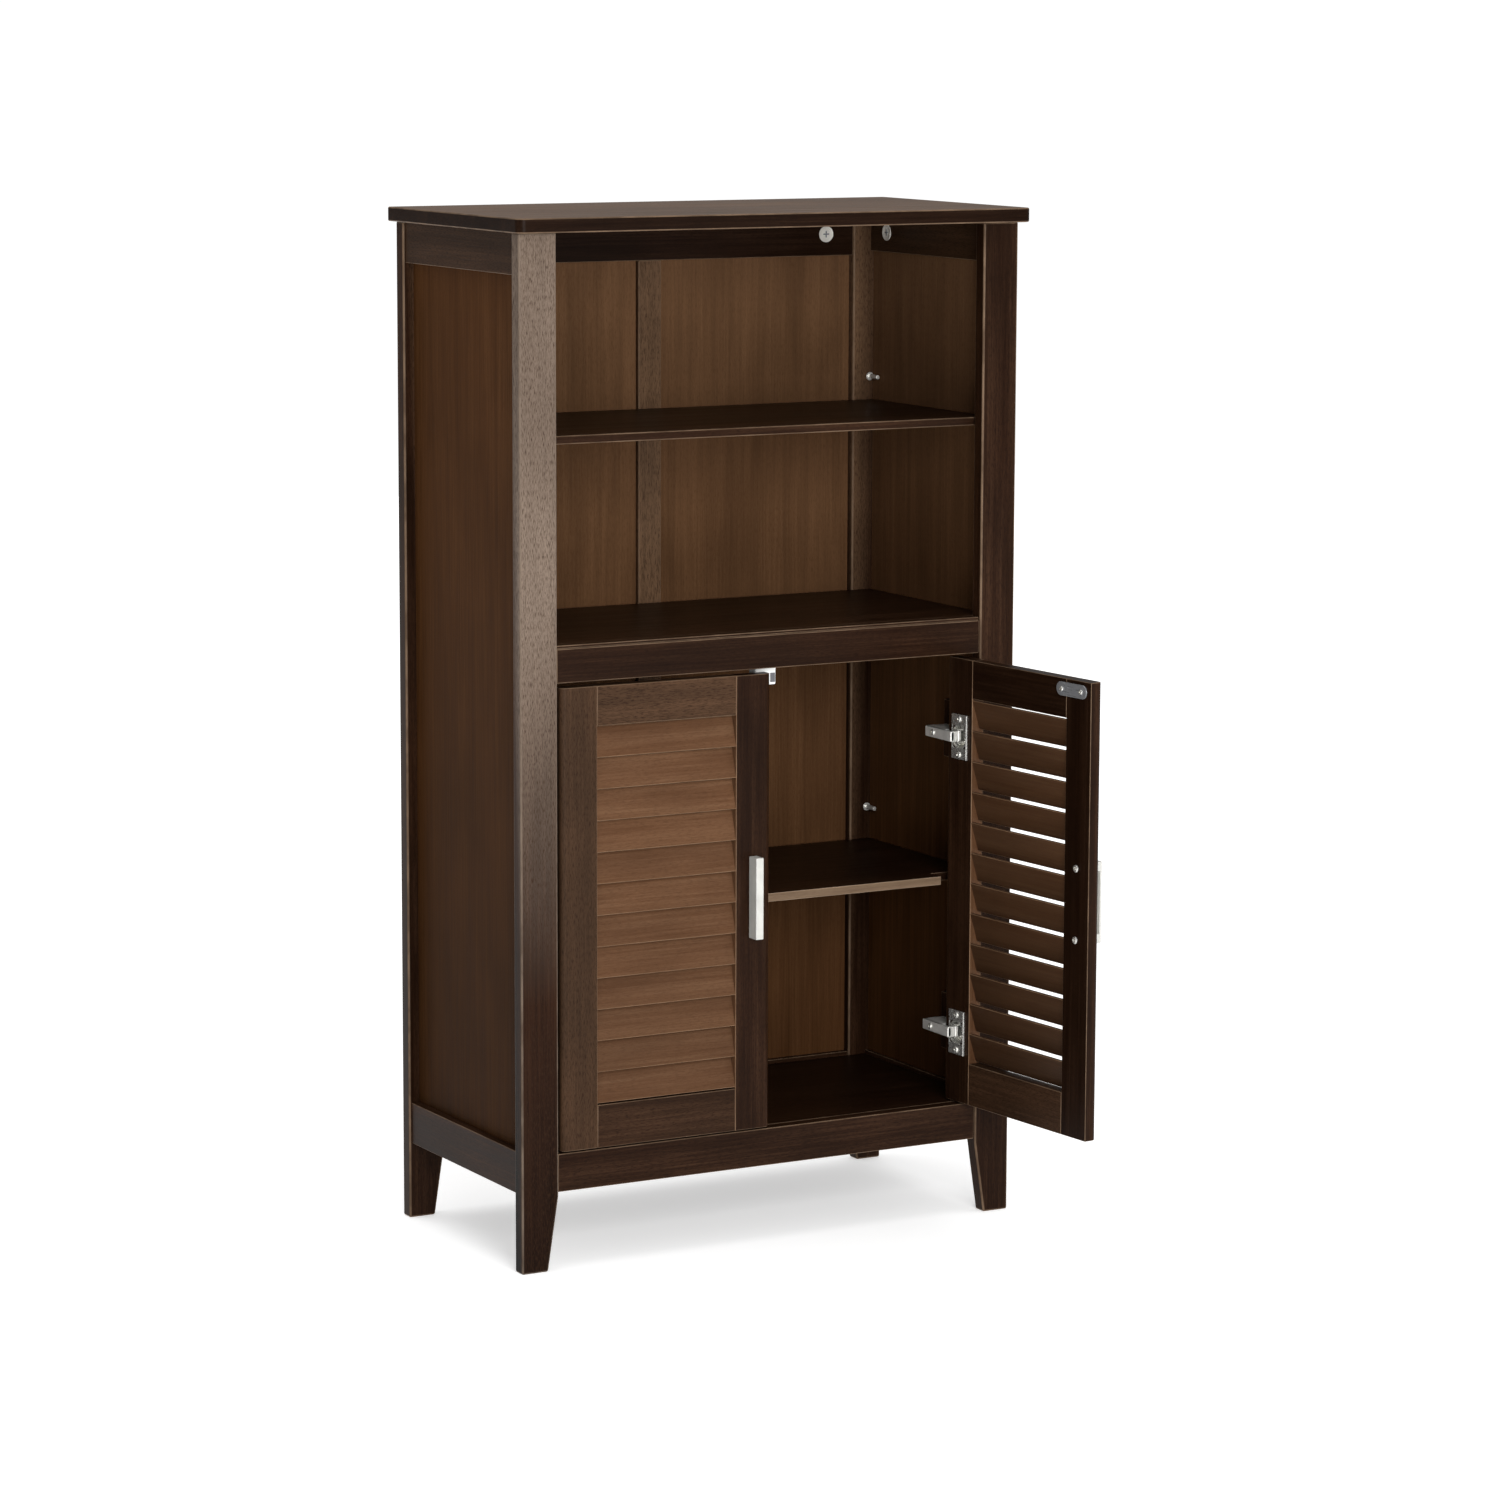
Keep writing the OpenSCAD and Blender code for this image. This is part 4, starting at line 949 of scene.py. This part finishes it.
bpy.ops.mesh.primitive_plane_add(size=FLOOR, location=(0, 0, 0))
floor = bpy.context.object
floor.name = "studio_floor"
m, n, links, bsdf = new_material("studio_paper")
tc = n.new("ShaderNodeTexCoord")
f = noise(n, links, tc.outputs["Object"], 3.0, (1, 1, 1), 2, 0.5)
c = ramp(n, [(0.2, grey(0.90)), (0.8, grey(0.93))])
links.new(f, c.inputs[0])
links.new(c.outputs[0], bsdf.inputs["Base Color"])
bsdf.inputs["Roughness"].default_value = 0.9
bsdf.inputs["Emission Color"].default_value = (1, 1, 1, 1)
far = n.new("ShaderNodeVectorMath")
far.operation = "LENGTH"
links.new(tc.outputs["Object"], far.inputs[0])
glow = ramp(n, [(0.14, grey(0.42)), (0.42, grey(0.75))])
links.new(maths(n, links, "MULTIPLY", far.outputs["Value"], 2 / FLOOR), glow.inputs[0])
links.new(glow.outputs[0], bsdf.inputs["Emission Strength"])
floor.data.materials.append(m)
floor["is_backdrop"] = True

world = bpy.data.worlds.new("studio")
bpy.context.scene.world = world
world.use_nodes = True
n, links = world.node_tree.nodes, world.node_tree.links
sky = n["Background"]
way = n.new("ShaderNodeNewGeometry")
part = n.new("ShaderNodeSeparateXYZ")
links.new(way.outputs["Incoming"], part.inputs[0])
height = maths(n, links, "MULTIPLY", part.outputs["Z"], -1.0)
glow = ramp(n, [(0.0, grey(0.30)), (0.35, grey(0.5)), (1.0, grey(1.0))])
links.new(height, glow.inputs[0])
links.new(glow.outputs[0], sky.inputs[0])
sky.inputs[1].default_value = SKY
white = n.new("ShaderNodeBackground")
white.inputs[0].default_value = (1, 1, 1, 1)
white.inputs[1].default_value = 1.05
eye = n.new("ShaderNodeLightPath")
both = n.new("ShaderNodeMixShader")
links.new(eye.outputs["Is Camera Ray"], both.inputs[0])
links.new(sky.outputs[0], both.inputs[1])
links.new(white.outputs[0], both.inputs[2])
links.new(both.outputs[0], n["World Output"].inputs[0])


def area(name, place_at, target, size, power):
    l = bpy.data.lights.new(name, "AREA")
    l.shape, l.size, l.size_y, l.energy = "RECTANGLE", size[0], size[1], power
    o = add_object(name, l)
    o.location = place_at
    o.rotation_euler = (Vector(target) - Vector(place_at)).to_track_quat("-Z", "Y").to_euler()


area("key", (-0.7, -3.3, 1.3), (0, 0, 0.5), (1.6, 1.6), KEY)
area("overhead", (0.0, 0.3, 3.4), (0, 0, 0), (4.0, 3.0), TOP)
area("strip", (0.78, -2.1, 0.62), (-0.25, -0.14, 0.8), (0.30, 0.9), STRIP)

cam = add_object("camera", bpy.data.cameras.new("camera"))
cam.data.lens = 116.64
cam.data.sensor_width = 36
cam.data.clip_end = 60
right = Vector((0.87364745, -0.48654738, 0.00343088))
up = Vector((0.07182053, 0.13592904, 0.98811189))
back = Vector((-0.48122961, -0.86301503, 0.15369815))
rot = Matrix((right, up, back)).transposed().to_4x4()
cam.matrix_world = Matrix.Translation((-2.44598, -4.47998, 1.29787)) @ rot
bpy.context.scene.camera = cam
bpy.context.scene.view_settings.view_transform = "Standard"

lo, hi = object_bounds()
